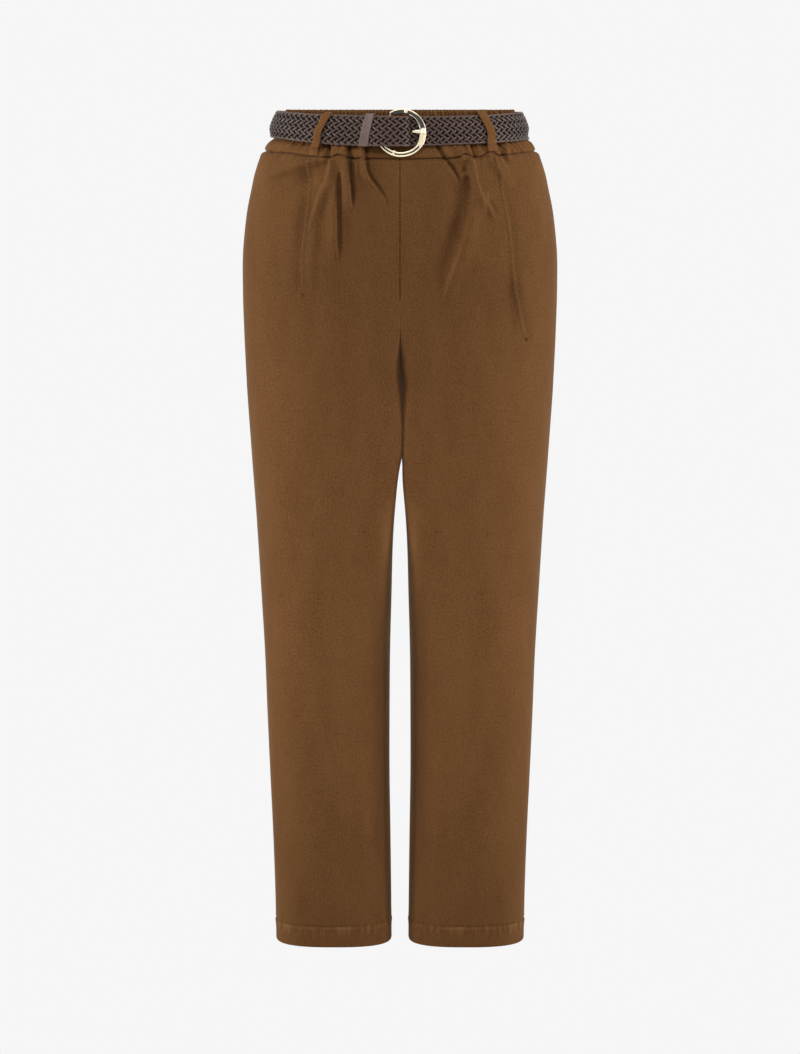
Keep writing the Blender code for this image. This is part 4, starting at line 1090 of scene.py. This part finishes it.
# %% [markdown]
# ## Belt loops
# A loop is a narrow strip of the same cloth, folded and pressed, sewn on below the belt and at
# the top edge. It stands off where the belt goes under it. The strip follows one smooth line seen
# from the side, and leans a little seen from the front, because the belt has pulled it along.

# %% Paths beside the belt
BELT_HEIGHT, BELT_DIP, BELT_EASE = 10.0, 6.5, 0.8


def belt_points(along, from_middle, standoff):
    """Points on the belt's path at these heights from its middle, and their normals in plan."""
    height = np.round(BELT_HEIGHT + np.asarray(from_middle, float), 2)
    place, normal, forward = waist_points(along, height, np.asarray(standoff, float) + BELT_EASE)
    return np.column_stack([place, height - BELT_DIP * forward]), normal


def smooth_line(points, step):
    """The same line with a point every step, on a smooth curve through the given points."""
    points = np.array(points, float)
    ends = np.vstack([2 * points[0] - points[1], points, 2 * points[-1] - points[-2]])
    fine = []
    for p0, p1, p2, p3 in zip(ends, ends[1:], ends[2:], ends[3:]):
        square, cube = 2 * p0 - 5 * p1 + 4 * p2 - p3, 3 * p1 - p0 - 3 * p2 + p3
        for t in np.linspace(0, 1, 24, endpoint=False):
            fine.append(0.5 * (2 * p1 + (p2 - p0) * t + square * t**2 + cube * t**3))
    fine = np.array(fine + [points[-1]])
    along = lengths_along(fine)
    return points_at(fine, along, np.linspace(0, along[-1], max(2, round(along[-1] / step) + 1)))


print("the belt's middle lies at", BELT_HEIGHT, "mm")

# %% Loops
LOOP_WALL = 1.4
LOOP_SIDES = (
    # height from the belt's middle, standoff over one layer, standoff over two
    (-27.5, 1.9, 1.9), (-22.0, 2.1, 2.3), (-19.6, 3.9, 5.2), (-16.0, 5.8, 7.7), (0.0, 6.2, 8.2),
    (12.0, 6.0, 7.9), (17.0, 5.6, 7.3), (18.6, 3.9, 5.2), (19.0, 2.1, 2.3),
)
LOOPS = (
    # name, width, along at foot and top, the belt's pull, layers, heights of foot and top
    ("front_right", 10.0, -91.2, -87.0, -4.2, 2, -29.3, 19.0),
    ("front_left", 11.4, 101.2, 99.2, 4.3, 1, -24.6, 21.2),
    ("side_right", 10.0, -287.0, -287.0, -1.0, 1, -27.5, 14.6),
    ("side_left", 10.0, 287.0, 287.0, 1.2, 1, -27.5, 14.6),
    ("centre_back", 10.0, 396.0, 396.0, 0.8, 1, -27.5, 14.6),
)


def loop_path(layers, low, high):
    """The middle line of a loop's wall: heights and standoffs, stretched to its foot and top."""
    heights = np.array([row[0] for row in LOOP_SIDES])
    to_foot, to_top = np.clip((-heights - 8) / 19.5, 0, 1), np.clip(heights / 19, 0, 1)
    heights = heights + (low + 27.5) * to_foot + (high - 19) * to_top
    path = smooth_line([(z, row[layers]) for z, row in zip(heights, LOOP_SIDES)], 0.9)
    normal = unit(quarter_turn(np.gradient(path, axis=0)))
    return path + normal * LOOP_WALL / 2 * np.sign(normal[len(path) // 2, 1])


def belt_loop(name, width, foot, top, pull, layers, low, high):
    path = loop_path(layers, low, high)
    across = np.array([-1.0, -0.9, -0.72, -0.5, -0.25, 0.0, 0.25, 0.5, 0.72, 0.9, 1.0])
    rows, uv = [], []
    for (height, standoff), length in zip(path, lengths_along(path)):
        t = np.clip((height - path[0, 0]) / (path[-1, 0] - path[0, 0]), 0, 1)
        middle = foot + (top - foot) * t + pull * 6.75 * t * (1 - t) ** 2
        narrow = 1 - 0.12 * math.sin(math.pi * t)
        crown = -0.45 * np.abs(across) ** 4 + 0.12 * np.sin(length / 5.1 + across * 1.4)
        level = np.full(len(across), height)
        row, _ = belt_points(middle + across * width / 2 * narrow, level, standoff + crown)
        rows.append(row)
        uv.append(np.column_stack([across * width / 2, np.full(len(across), length)]) * MM)
    bm = bmesh.new()
    add_sheet(bm, rows, uv)

    def outward(place):
        return Vector((place.x, place.y, 0.0))

    node = f"belt_loop_{name}"
    # The loops take the lit copy of the cloth, drawn brighter as painted highlight.
    return finish_piece(f"loop_{name}_cloth", bm, LOOP_LIT_CLOTH, outward, LOOP_WALL, [node])


loops = [belt_loop(*row) for row in LOOPS]

# %% [markdown]
# ## The braided belt
# The belt is plaited from flat leather strands. On its face they show as short slanted pads in
# eight rows that lean one way and the other by turns. Under them runs a core that closes the gaps;
# its near-black colour is painted shade for the shadowed depths between the strands. Each pad is a
# squashed ball with few faces, because there are over a thousand of them; its ends sink under its
# neighbours, as a strand's do.

# %% The strap's run
BELT_WIDTH = 33.0
BRAID_WIDTHS = (
    # along, width, how much higher its middle lies: a braid narrows where it bends round the hips
    (-400.0, 31.0, 0.0), (-175.0, 29.4, 1.2), (-140.0, 29.9, 1.1), (-105.0, 31.4, 0.6),
    (-70.0, 33.4, 0.2), (-20.0, 33.6, 0.0), (30.0, 32.4, 0.0), (60.0, 31.7, 0.0),
    (120.0, 31.0, -0.6), (175.0, 30.8, -1.1), (400.0, 31.0, 0.0),
)
BAR_FOLD = (
    # along, standoff of the strap's middle, thickness
    (-25.0, 9.4, 1.4), (-14.0, 9.4, 1.4), (-9.8, 9.2, 1.4), (-7.6, 8.0, 1.4), (-6.8, 5.85, 1.4),
    (-7.6, 3.7, 1.4), (-10.0, 2.4, 1.4), (-18.0, 2.3, 1.4), (-29.0, 2.3, 1.4), (-40.0, 2.3, 1.4),
    (-52.0, 2.85, 2.5),
)
FREE_END = (
    (44.0, 2.85, 2.5), (34.0, 2.85, 2.5), (13.6, 2.9, 2.5), (9.6, 6.0, 2.5), (6.2, 9.4, 2.5),
    (1.5, 11.4, 2.5), (-6.0, 11.7, 2.5), (-16.0, 11.7, 2.5), (-25.0, 11.5, 2.5), (-31.0, 9.6, 2.5),
    (-37.0, 7.0, 2.5), (-43.0, 5.75, 2.5), (-55.0, 5.2, 2.5),
)
TIP_ALONG, TIP_TAPER = -232.0, 18.0
FIRST_LAYER, SECOND_LAYER = 2.85, 4.75  # standoffs of the middle of each layer


def strap_run():
    """Stations every 3 mm: along, standoff and thickness, from the folded end to the free tip."""

    def level(first, last, standoff):
        places = np.linspace(first, last, round((first - last) / 12))
        return [(along, standoff, 2.5) for along in places]

    stations = list(BAR_FOLD) + level(-64.0, FREE_END[0][0] - ROUND + 12.0, FIRST_LAYER)
    stations += [(along - ROUND, standoff, thick) for along, standoff, thick in FREE_END]
    stations += level(FREE_END[-1][0] - ROUND - 12.0, TIP_ALONG - ROUND, SECOND_LAYER)
    return smooth_line(stations, 3.0)


RUN = strap_run()
RUN_LENGTHS = lengths_along(RUN[:, :2])


def run_frames(lengths, from_middle, out):
    """Points out from the strap's middle, with its direction, its up and its outward."""
    before, run, after = (points_at(RUN, RUN_LENGTHS, lengths + step) for step in (-1.0, 0.0, 1.0))
    ahead = after - before
    here, _ = belt_points(run[:, 0], from_middle, run[:, 1])
    on, _ = belt_points(run[:, 0] + ahead[:, 0], from_middle, run[:, 1] + ahead[:, 1])
    above, _ = belt_points(run[:, 0], np.asarray(from_middle) + 1.0, run[:, 1])
    forward, up = unit(on - here), unit(above - here)
    outward = unit(np.cross(up, forward))
    return here + outward * (run[:, 2] / 2 * out)[:, None], forward, up, outward


print("strap:", round(RUN_LENGTHS[-1]), "mm")

# %% Core of the strap
SECTION = (
    # up and out, each as a share of half the width or half the thickness
    (1.0, 0.0), (0.99, 0.45), (0.94, 0.66), (0.7, 0.68), (0.35, 0.68), (0.0, 0.68), (-0.35, 0.68),
    (-0.7, 0.68), (-0.94, 0.66), (-0.99, 0.45), (-1.0, 0.0), (-0.99, -0.5), (-0.94, -0.85),
    (-0.5, -0.9), (0.0, -0.9), (0.5, -0.9), (0.94, -0.85), (0.99, -0.5),
)


def tip_share(left):
    """The strap's width near its rounded tip, as a share of its full width."""
    return math.sqrt(max(0.04, 1 - (1 - min(left / TIP_TAPER, 1.0)) ** 2))


def braid_widths(lengths):
    """The braid's width at these lengths of the strap, and how much higher its middle lies."""
    along = wrapped(np.interp(lengths, RUN_LENGTHS, RUN[:, 0]))
    places, widths, rises = zip(*BRAID_WIDTHS)
    share = np.array([tip_share(RUN_LENGTHS[-1] - s) for s in lengths])
    return np.interp(along, places, widths) * share, np.interp(along, places, rises)


def strap_core():
    lengths = np.arange(0.0, RUN_LENGTHS[-1] + 0.01, 3.0)
    width, rise = braid_widths(lengths)
    columns = []
    for up_share, out in SECTION:
        point, *_ = run_frames(lengths, up_share * width / 2 * 0.985 + rise, out)
        columns.append(point)
    grid = np.stack(columns + [columns[0]], axis=1)
    uv = np.zeros(grid.shape[:2] + (2,))
    uv[:, :, 0] = lengths[:, None] * MM
    uv[:, :, 1] = np.linspace(0, 0.07, grid.shape[1])
    bm = bmesh.new()
    add_sheet(bm, grid, uv)
    bmesh.ops.remove_doubles(bm, verts=bm.verts, dist=0.01)
    close_ends(bm)
    finish_piece("strap_core", bm, BRAID_GAP_SHADE, replaces=["belt_strap"])


def leather_material(name, dark, light, roughness, grain, bump, shine=0.35):
    """Leather: two shades in soft patches, with painted shade that darkens it towards the sides of
    the hips, and a fine grain in its surface.
    """
    material = plain_material(name, light, roughness)
    tree = material.node_tree
    place = add_place(tree)
    patches = add_noise(tree, place, (220.0, 220.0, 220.0), 3.0)
    fine = add_noise(tree, place, (grain, grain, grain), 4.0)
    colour = add_ramp(tree, patches, [(0.3, dark), (0.7, light)])
    speck = add_ramp(tree, fine, [(0.3, (0.78, 0.78, 0.78)), (0.6, (1, 1, 1))])
    # Painted shade: beyond 108 mm from the middle the colour darkens to about 0.6, so that the
    # leather at the sides of the hips looks turned away from the light.
    sideways = add_math(tree, "ABSOLUTE", add_parts(tree, place)["X"])
    painted_side_shade = add_ramp(tree, sideways, [(0.108, (1, 1, 1)), (0.142, (0.62, 0.60, 0.60))])
    for shade in (speck, painted_side_shade):
        colour = add_mix(tree, "MULTIPLY", 1.0, colour, shade)
    normal = add_bump(tree, fine, 0.0003, bump)
    feed_shader(material, {"Base Color": colour, "Normal": normal, "Specular IOR Level": shine})
    return material


# Painted shade: the core is near black, standing for the shadowed depths of the plait seen through
# the gaps between strands.
BRAID_GAP_SHADE = leather_material(
    "braid_core_painted_shade", (0.006, 0.004, 0.0035), (0.012, 0.008, 0.007), 0.8, 1500.0, 0.2, 0.1
)
BRAID = leather_material(
    "braid_leather", (0.075, 0.0405, 0.0290), (0.116, 0.0652, 0.0472), 0.38, 2600.0, 0.2, 0.42
)
strap_core()

# %% A pile of small balls
class Pile:
    """Many squashed balls in one mesh, gathered by the dozen, because a bmesh slows as it grows."""

    def __init__(self):
        self.all, self.few, self.count = bmesh.new(), bmesh.new(), 0

    def add(self, middle, length_way, outward, size, segments, rings):
        """One ball with its half length, half width and half depth."""
        half_length, half_width, half_depth = size
        across = np.cross(outward, length_way) * half_width
        columns = (across, outward * half_depth, length_way * half_length, middle)
        rows = [[float(column[i]) for column in columns] for i in range(3)]
        matrix = Matrix(rows + [[0, 0, 0, 1]])
        bmesh.ops.create_uvsphere(
            self.few, u_segments=segments, v_segments=rings, radius=1.0, matrix=matrix
        )
        self.count += 1
        if self.count % 40 == 0:
            self.gather()

    def gather(self):
        bmesh.ops.recalc_face_normals(self.few, faces=self.few.faces)
        carrier = bpy.data.meshes.new("carrier")
        self.few.to_mesh(carrier)
        self.all.from_mesh(carrier)
        bpy.data.meshes.remove(carrier)
        self.few.clear()

    def whole(self):
        self.gather()
        self.few.free()
        return self.all


# %% Strands of the braid
BRAID_ROWS, BRAID_PITCH, BRAID_LEAN = 8, 7.8, math.radians(34)
STRAND = (5.0, 1.55, 1.15)  # half length, half width, half depth
COVERED = TIP_ALONG + 12.0  # from here to the bar the lower layer lies hidden under the free end


def seen_lengths(lengths):
    return lengths[np.interp(lengths, RUN_LENGTHS, RUN[:, 0]) < COVERED]


def braid():
    pile = Pile()
    for row in range(BRAID_ROWS):
        lean = 1 if row % 2 else -1
        shortened = 0.86 if row in (0, BRAID_ROWS - 1) else 1.0
        lengths = np.arange(2.0, RUN_LENGTHS[-1] - 2.0, BRAID_PITCH) + (row % 2) * BRAID_PITCH / 2
        lengths = seen_lengths(lengths[lengths < RUN_LENGTHS[-1] - 1.0])
        width, rise = braid_widths(lengths)
        middle = (0.5 - (row + 0.5) / BRAID_ROWS) * width + rise
        point, forward, up, outward = run_frames(lengths, middle, 0.62)
        for k, narrow in enumerate(width / BELT_WIDTH):
            wave = 1 + 0.05 * math.sin(12.9898 * (k + 31 * row))  # no two strands are quite alike
            on = forward[k] * math.cos(BRAID_LEAN) * lean + up[k] * math.sin(BRAID_LEAN)
            reach = STRAND[0] * min(1.0, narrow + 0.1) * shortened
            size = (reach, STRAND[1] * narrow * wave, STRAND[2])
            pile.add(point[k], on, outward[k], size, 10, 8)
    print("strands:", pile.count)
    finish_piece("strap_braid", pile.whole(), BRAID)


braid()

# %% Edges of the braid
EDGE_STRAND = (4.9, 1.15, 1.2)  # half length, half width, half depth
EDGE_PITCH, EDGE_LEAN, EDGE_INSET = 0.8 * BRAID_PITCH, math.radians(9), 0.55


def braid_edges():
    """Where a strand turns back at an edge it lies almost along the belt."""
    pile = Pile()
    for edge in (1, -1):
        lengths = seen_lengths(np.arange(3.0, RUN_LENGTHS[-1] - 3.0, EDGE_PITCH))
        width, rise = braid_widths(lengths)
        middle = edge * (width / 2 - EDGE_INSET) + rise
        point, forward, up, outward = run_frames(lengths, middle, 0.55)
        for k in range(len(lengths)):
            on = forward[k] * math.cos(EDGE_LEAN) + up[k] * math.sin(EDGE_LEAN) * edge
            pile.add(point[k], on, outward[k], EDGE_STRAND, 8, 6)
    print("edge strands:", pile.count)
    finish_piece("strap_edges", pile.whole(), BRAID)


braid_edges()

# %% [markdown]
# ## The keeper
# A small loop of smooth leather holds the belt's two layers together beside the buckle. It is a
# flat band bent round both layers, so its section is a rounded oblong; its face slopes because
# the free end still climbs towards the buckle there.

# %% Keeper
KEEPER_ALONG, KEEPER_WIDTH, KEEPER_LEAN, KEEPER_WALL = -38.0, 10.5, -2.8, 1.1
KEEPER_HALF, KEEPER_CORNER, KEEPER_RISE = BELT_WIDTH / 2 + 2.2, 1.7, 1.3
BACK_STANDOFF = 0.35  # of the keeper's back from the belt's path
KEEPER = leather_material(
    "keeper_leather", (0.140, 0.098, 0.079), (0.184, 0.130, 0.105), 0.42, 1800.0, 0.12
)


def free_end_out(along):
    """How far the keeper's face stands out: over half the strap's thickness and its strands."""
    rows = sorted(FREE_END)
    middle = np.interp(along, [row[0] for row in rows], [row[1] for row in rows])
    return middle + 1.25 + 0.9 + KEEPER_WALL


def keeper_section():
    """Round the belt: the height of each point, whether it is on the face, and its push out."""
    flat = KEEPER_HALF - KEEPER_CORNER
    section = []
    for centre, face, start in ((flat, 1, 90), (-flat, 1, 0), (-flat, 0, -90), (flat, 0, -180)):
        for step in range(6):
            angle = math.radians(start - 18 * step)
            push = KEEPER_CORNER * (math.cos(angle) + (-1 if face else 1))
            section.append((centre + KEEPER_CORNER * math.sin(angle), face, push))
        if start == 90:
            section += [(h, 1, 0.0) for h in np.linspace(flat - 3, 3 - flat, 9)]
    return section + section[:1]


def keeper():
    across = np.array([-1.0, -0.94, -0.8, -0.4, 0.0, 0.4, 0.8, 0.94, 1.0])
    crown = -0.3 * np.abs(across) ** 6
    rows, uv = [], []
    for index, (h, face, push) in enumerate(keeper_section()):
        along = KEEPER_ALONG + across * KEEPER_WIDTH / 2 - KEEPER_LEAN * h / KEEPER_HALF
        standoff = (free_end_out(along) + crown if face else BACK_STANDOFF - crown) + push
        row, _ = belt_points(along, np.full(len(across), h + KEEPER_RISE), standoff)
        rows.append(row)
        uv.append(np.column_stack([across * 5, np.full(len(across), index * 2.0)]) * MM)
    bm = bmesh.new()
    add_sheet(bm, rows, uv)
    bmesh.ops.remove_doubles(bm, verts=bm.verts, dist=0.01)
    bmesh.ops.recalc_face_normals(bm, faces=bm.faces)

    def outward(place):
        middle, _ = belt_points(np.array([KEEPER_ALONG]), np.array([0.0]), np.array([4.0]))
        return place - Vector(middle[0] * MM)

    finish_piece(
        "keeper_leather", bm, KEEPER, outward, KEEPER_WALL, ["belt_keeper"]
    )


keeper()

# %% [markdown]
# ## The ring buckle
# The buckle is a cast ring of pale gold. Its upper arc carries black enamel between two thin rims
# and runs out to a point; its lower arc has a narrow black line between two rims; small knots
# bridge them. The ring is an arc of a rounded section, made as a sheet that wraps round the arc,
# and the rims and enamel are thinner arcs of the same kind laid on it.

# %% Metals
def metal_material(name, colour, roughness):
    material = plain_material(name, colour, roughness)
    tree = material.node_tree
    rub = add_noise(tree, add_place(tree), (900.0, 900.0, 900.0), 3.0)
    ends = {"Value": rub, "To Min": roughness - 0.05, "To Max": roughness + 0.10}
    rough = add_node(tree, "MapRange", ends).outputs[0]
    tint = add_ramp(tree, rub, [(0.3, tuple(0.93 * c for c in colour)), (0.7, colour)])
    feed_shader(material, {"Metallic": 1.0, "Roughness": rough, "Base Color": tint})
    return material


GOLD = metal_material("pale_gold", (0.90, 0.78, 0.56), 0.16)
ENAMEL = plain_material("black_enamel", (0.006, 0.007, 0.006), 0.12)
tree = ENAMEL.node_tree
pool = add_noise(tree, add_place(tree), (400.0, 400.0, 400.0), 2.0)
tint = add_ramp(tree, pool, [(0.3, (0.005, 0.006, 0.005)), (0.7, (0.009, 0.010, 0.009))])
feed_shader(ENAMEL, {"Coat Weight": 0.6, "Base Color": tint})
print("metals:", GOLD.name, ENAMEL.name)

# %% Arcs of the ring
RING_CENTRE, RING_RADIUS, RING_LEAN, RING_BACK, RING_DEPTH = (2.6, 1.8), 27.2, 5.5, 94.3, 3.3
RING_MIDDLE = (RING_CENTRE[0], -(RING_BACK + RING_DEPTH / 2), RING_CENTRE[1])
RING_TURN = Matrix.Rotation(math.radians(90 - RING_LEAN), 4, "X")
RING_PLACE = Matrix.Translation(RING_MIDDLE) @ RING_TURN


def place_on_ring(angle, radius, out):
    """A point by its angle in degrees, its distance from the ring's middle, and how far forward."""
    turn = math.radians(angle)
    return RING_PLACE @ Vector((radius * math.cos(turn), radius * math.sin(turn), out))


def rounded_oblong(count, corner):
    """Points round an oblong from -1 to 1, back to the first; a smaller corner is squarer."""
    turns = [2 * math.pi * k / count for k in range(count)]
    waves = [(math.cos(turn), math.sin(turn)) for turn in turns]
    pairs = [[math.copysign(abs(wave) ** corner, wave) for wave in pair] for pair in waves]
    return pairs + pairs[:1]


def ring_arc(bm, start, end, inner, inner_off, outer, outer_off, back, front, steps, corner):
    """A closed arc with a rounded section between two edges of the ring, each with an offset."""
    rows = []
    for angle in np.linspace(start, end, steps):
        low, high = inner(angle) + inner_off, outer(angle) + outer_off
        rows.append([
            place_on_ring(angle, (low + high) / 2 + across * (high - low) / 2,
                          (front + back) / 2 + deep * (front - back) / 2)
            for across, deep in rounded_oblong(20, corner)
        ])
    bmesh.ops.remove_doubles(bm, verts=add_sheet(bm, rows), dist=0.002)


def round_edges(bm, verts, offset, segments):
    """Round all the edges of the block with these corners."""
    edges = list({edge for vert in verts for edge in vert.link_edges})
    bmesh.ops.bevel(
        bm, geom=edges, offset=offset, segments=segments, profile=0.5, affect="EDGES", material=-1
    )


# %% Ring
def ring_width(angle):
    """The ring is broadest on its right, beside the hinge of the prong, and runs out to a point."""
    width = 5.5 + 1.7 * bump_at(angle, 34)
    if angle > 90:
        width = 1.6 + (width - 1.6) * smooth_step((124 - angle) / 17)
    return float(width)


def outer_edge(angle):
    """The ring's outer radius, which flares a little towards its lower end."""
    return RING_RADIUS + 2.4 * max(0.0, (-78.0 - angle) / 70.0) ** 1.3


def inner_edge(angle):
    return outer_edge(angle) - ring_width(angle)


bm = bmesh.new()
ring_arc(bm, -152, 122, inner_edge, 0.0, outer_edge, 0.0, -1.5, 1.15, 150, 0.7)
close_ends(bm)
bar_start = place_on_ring(120.5, RING_RADIUS - 1.2, -0.2)
bar_end = place_on_ring(-146, RING_RADIUS - 2.0, -0.2)
bar = bar_end - bar_start
bar_place = Matrix.Translation((bar_start + bar_end) / 2)
bar_turn = bar.to_track_quat("Z", "Y").to_matrix().to_4x4()
bmesh.ops.create_cone(
    bm, cap_ends=True, segments=16, radius1=0.8, radius2=0.8, depth=bar.length,
    matrix=bar_place @ bar_turn,
)
finish_piece("ring_metal", bm, GOLD, replaces=["buckle_ring"])

# %% Rims and knots
def arrow_edge(angle):
    """The upper rim's inner side: the rim grows broader where the enamel ends in a point."""
    return RING_RADIUS - (0.95 + 0.7 * smooth_step((angle - 44) / 12))


RIMS = (
    # from, to, inner side and offset, outer side and offset, back, front, rows, corner
    (12, 122, arrow_edge, 0.0, outer_edge, 0.05, 0.2, 1.75, 90, 0.9),
    (12, 69, inner_edge, -0.05, inner_edge, 0.85, 0.2, 1.65, 60, 0.9),
    (-152, -38, outer_edge, -1.9, outer_edge, 0.05, 0.2, 1.8, 90, 0.9),
    (-146, -38, inner_edge, -0.1, inner_edge, 2.0, 0.2, 1.9, 90, 0.9),
    (-39, -3, inner_edge, -0.1, outer_edge, 0.1, 0.2, 1.7, 40, 0.5),
)
RIDGES, RIDGE_START, RIDGE_PITCH, RIDGE_WIDTH = 7, -34, 4.2, 1.5
KNOTS = (
    # angle, radius, size
    (81, RING_RADIUS - 2.9, 3.9), (-114, RING_RADIUS - 0.4, 3.0), (-114, RING_RADIUS - 3.8, 3.0),
)

bm = bmesh.new()
for rim in RIMS:
    ring_arc(bm, *rim)
for k in range(RIDGES):
    angle = RIDGE_START + k * RIDGE_PITCH
    ring_arc(
        bm, angle, angle + RIDGE_WIDTH, inner_edge, 1.4, outer_edge, -1.6, 1.0, 1.95, 4, 0.7
    )
close_ends(bm)
for angle, radius, size in KNOTS:
    knot = bmesh.ops.create_cube(bm, size=size)["verts"]
    on_ring = Matrix.Rotation(math.radians(angle), 4, "Z") @ Matrix.Translation((radius, 0, 1.2))
    bmesh.ops.transform(bm, matrix=RING_PLACE @ on_ring, verts=knot)
    round_edges(bm, knot, 0.6, 3)
finish_piece("ring_rims", bm, GOLD)

# %% Enamel
def enamel_edge(angle):
    return inner_edge(angle) + (0.6 if angle < 69 else 0.1)


bm = bmesh.new()
ring_arc(bm, 13, 121, enamel_edge, 0.0, outer_edge, -0.7, 0.4, 1.45, 90, 0.6)
ring_arc(bm, -151, -39, inner_edge, 1.6, outer_edge, -1.5, 0.4, 1.3, 90, 0.6)
close_ends(bm)
finish_piece("ring_enamel", bm, ENAMEL)

# %% [markdown]
# ## The prong
# The prong is a short bar that hooks through the braid and rests on the ring's broad side, where
# a small block carries its hinge. Both are bars with rounded edges.

# %% Prong and its block
PRONG = (
    # x, y, height of the bar
    (14.4, -99.2, 1.8), (15.4, -99.5, 2.8), (18.0, -99.9, 3.6), (21.6, -99.9, 4.2),
    (26.0, -99.4, 4.6),
)
PRONG_Z, PRONG_HALF_DEPTH = 3.3, 1.15
BLOCK_SIZE, BLOCK_PLACE = (5.6, 3.4, 6.0), (26.0, -98.4, 3.6)

bm = bmesh.new()
rows = [
    [(x, y + deep * PRONG_HALF_DEPTH, PRONG_Z + across * tall / 2)
     for across, deep in rounded_oblong(16, 0.7)]
    for x, y, tall in PRONG
]
bmesh.ops.remove_doubles(bm, verts=add_sheet(bm, rows), dist=0.002)
close_ends(bm)
block = bmesh.ops.create_cube(bm, size=1.0)["verts"]
bmesh.ops.scale(bm, vec=BLOCK_SIZE, verts=block)
bmesh.ops.translate(bm, vec=BLOCK_PLACE, verts=block)
round_edges(bm, block, 1.3, 4)
finish_piece("prong_metal", bm, GOLD, replaces=["buckle_prong"])

# %% [markdown]
# ## Stitches
# The hem is held by a line of small stitches in thread of the cloth's own colour, and a dense bar
# tack closes the end of each pocket mouth. Each stitch is a short bar with rounded ends that lies
# on the cloth.

# %% Hem stitches
THREAD = leather_material(
    "thread", (0.150, 0.067, 0.026), (0.200, 0.095, 0.040), 0.8, 3000.0, 0.3, 0.08
)
STITCH_PITCH = 3.3


def stitch(pile, middle, along, outward, half_length, half_width):
    """One stitch: a squashed ball that lies along the seam."""
    pile.add(middle, along, outward, (half_length, half_width, half_width * 0.8), 6, 4)


def hem_stitches(side):
    pile = Pile()
    for face in (-1, 1):
        panel = "back" if face > 0 else f"front_{side}"
        outline, along = folded_outline(panel, face, HEM_STITCH, 90.0)
        row = points_at(outline, along, np.arange(2.0, along[-1] - 1.0, STITCH_PITCH))
        normal = outward_normals(row, face)
        tangent = unit(np.gradient(row, axis=0))
        for mirror in (row, normal, tangent):
            mirror[:, 0] *= SIGNS[side]
        for point, out, on in zip(row, normal, tangent):
            outward = np.array([out[0], out[1], 0.0])
            stitch(pile, point + outward * 0.16, on, outward, 1.15, 0.36)
    finish_piece(f"hem_stitches_{side}", pile.whole(), THREAD)


for side in SIGNS:
    hem_stitches(side)

# %% Bar tacks
TACK_THREADS, TACK_PITCH = 6, 0.75


def bar_tack(side):
    """Threads across the lower end of the pocket's mouth."""
    pile = Pile()
    for k in range(TACK_THREADS):
        height = MOUTH_END[side] + 3.5 - k * TACK_PITCH
        turn = max(0.0, 90.0 * (FORK_TOP - height) / (FORK_TOP - FORK + SIDE_TILT))
        (inner, _), (outer, _) = front_row(side, height, turn, 0.0)
        normal = outward_normals(np.vstack([inner[-6:-3], outer[3:6]]), -1)[2]
        outward = np.array([normal[0], normal[1], 0.0])
        tangent = np.array([-normal[1], normal[0], 0.0])
        point = (inner[-1] + outer[0]) / 2 + outward * 0.5
        mirror = (SIGNS[side], 1, 1)
        stitch(pile, point * mirror, tangent * mirror, outward * mirror, 2.1, 0.32)
    finish_piece(f"bar_tack_{side}", pile.whole(), THREAD)


for side in SIGNS:
    bar_tack(side)

# %% [markdown]
# ## The area of each sheet
# A cloth piece starts flat. Below, the area that each piece covers on the garment is printed,
# as half the area of its finished shell.

# %% Sheets
def surface_area(piece):
    """Half of the finished shell's area, in square metres."""
    depsgraph = bpy.context.evaluated_depsgraph_get()
    shape = piece.evaluated_get(depsgraph).to_mesh()
    total = sum(polygon.area for polygon in shape.polygons)
    piece.evaluated_get(depsgraph).to_mesh_clear()
    return total / 2


for pieces in (fronts, backs, facings, bands):
    print("areas:", [round(surface_area(piece), 4) for piece in pieces.values()])
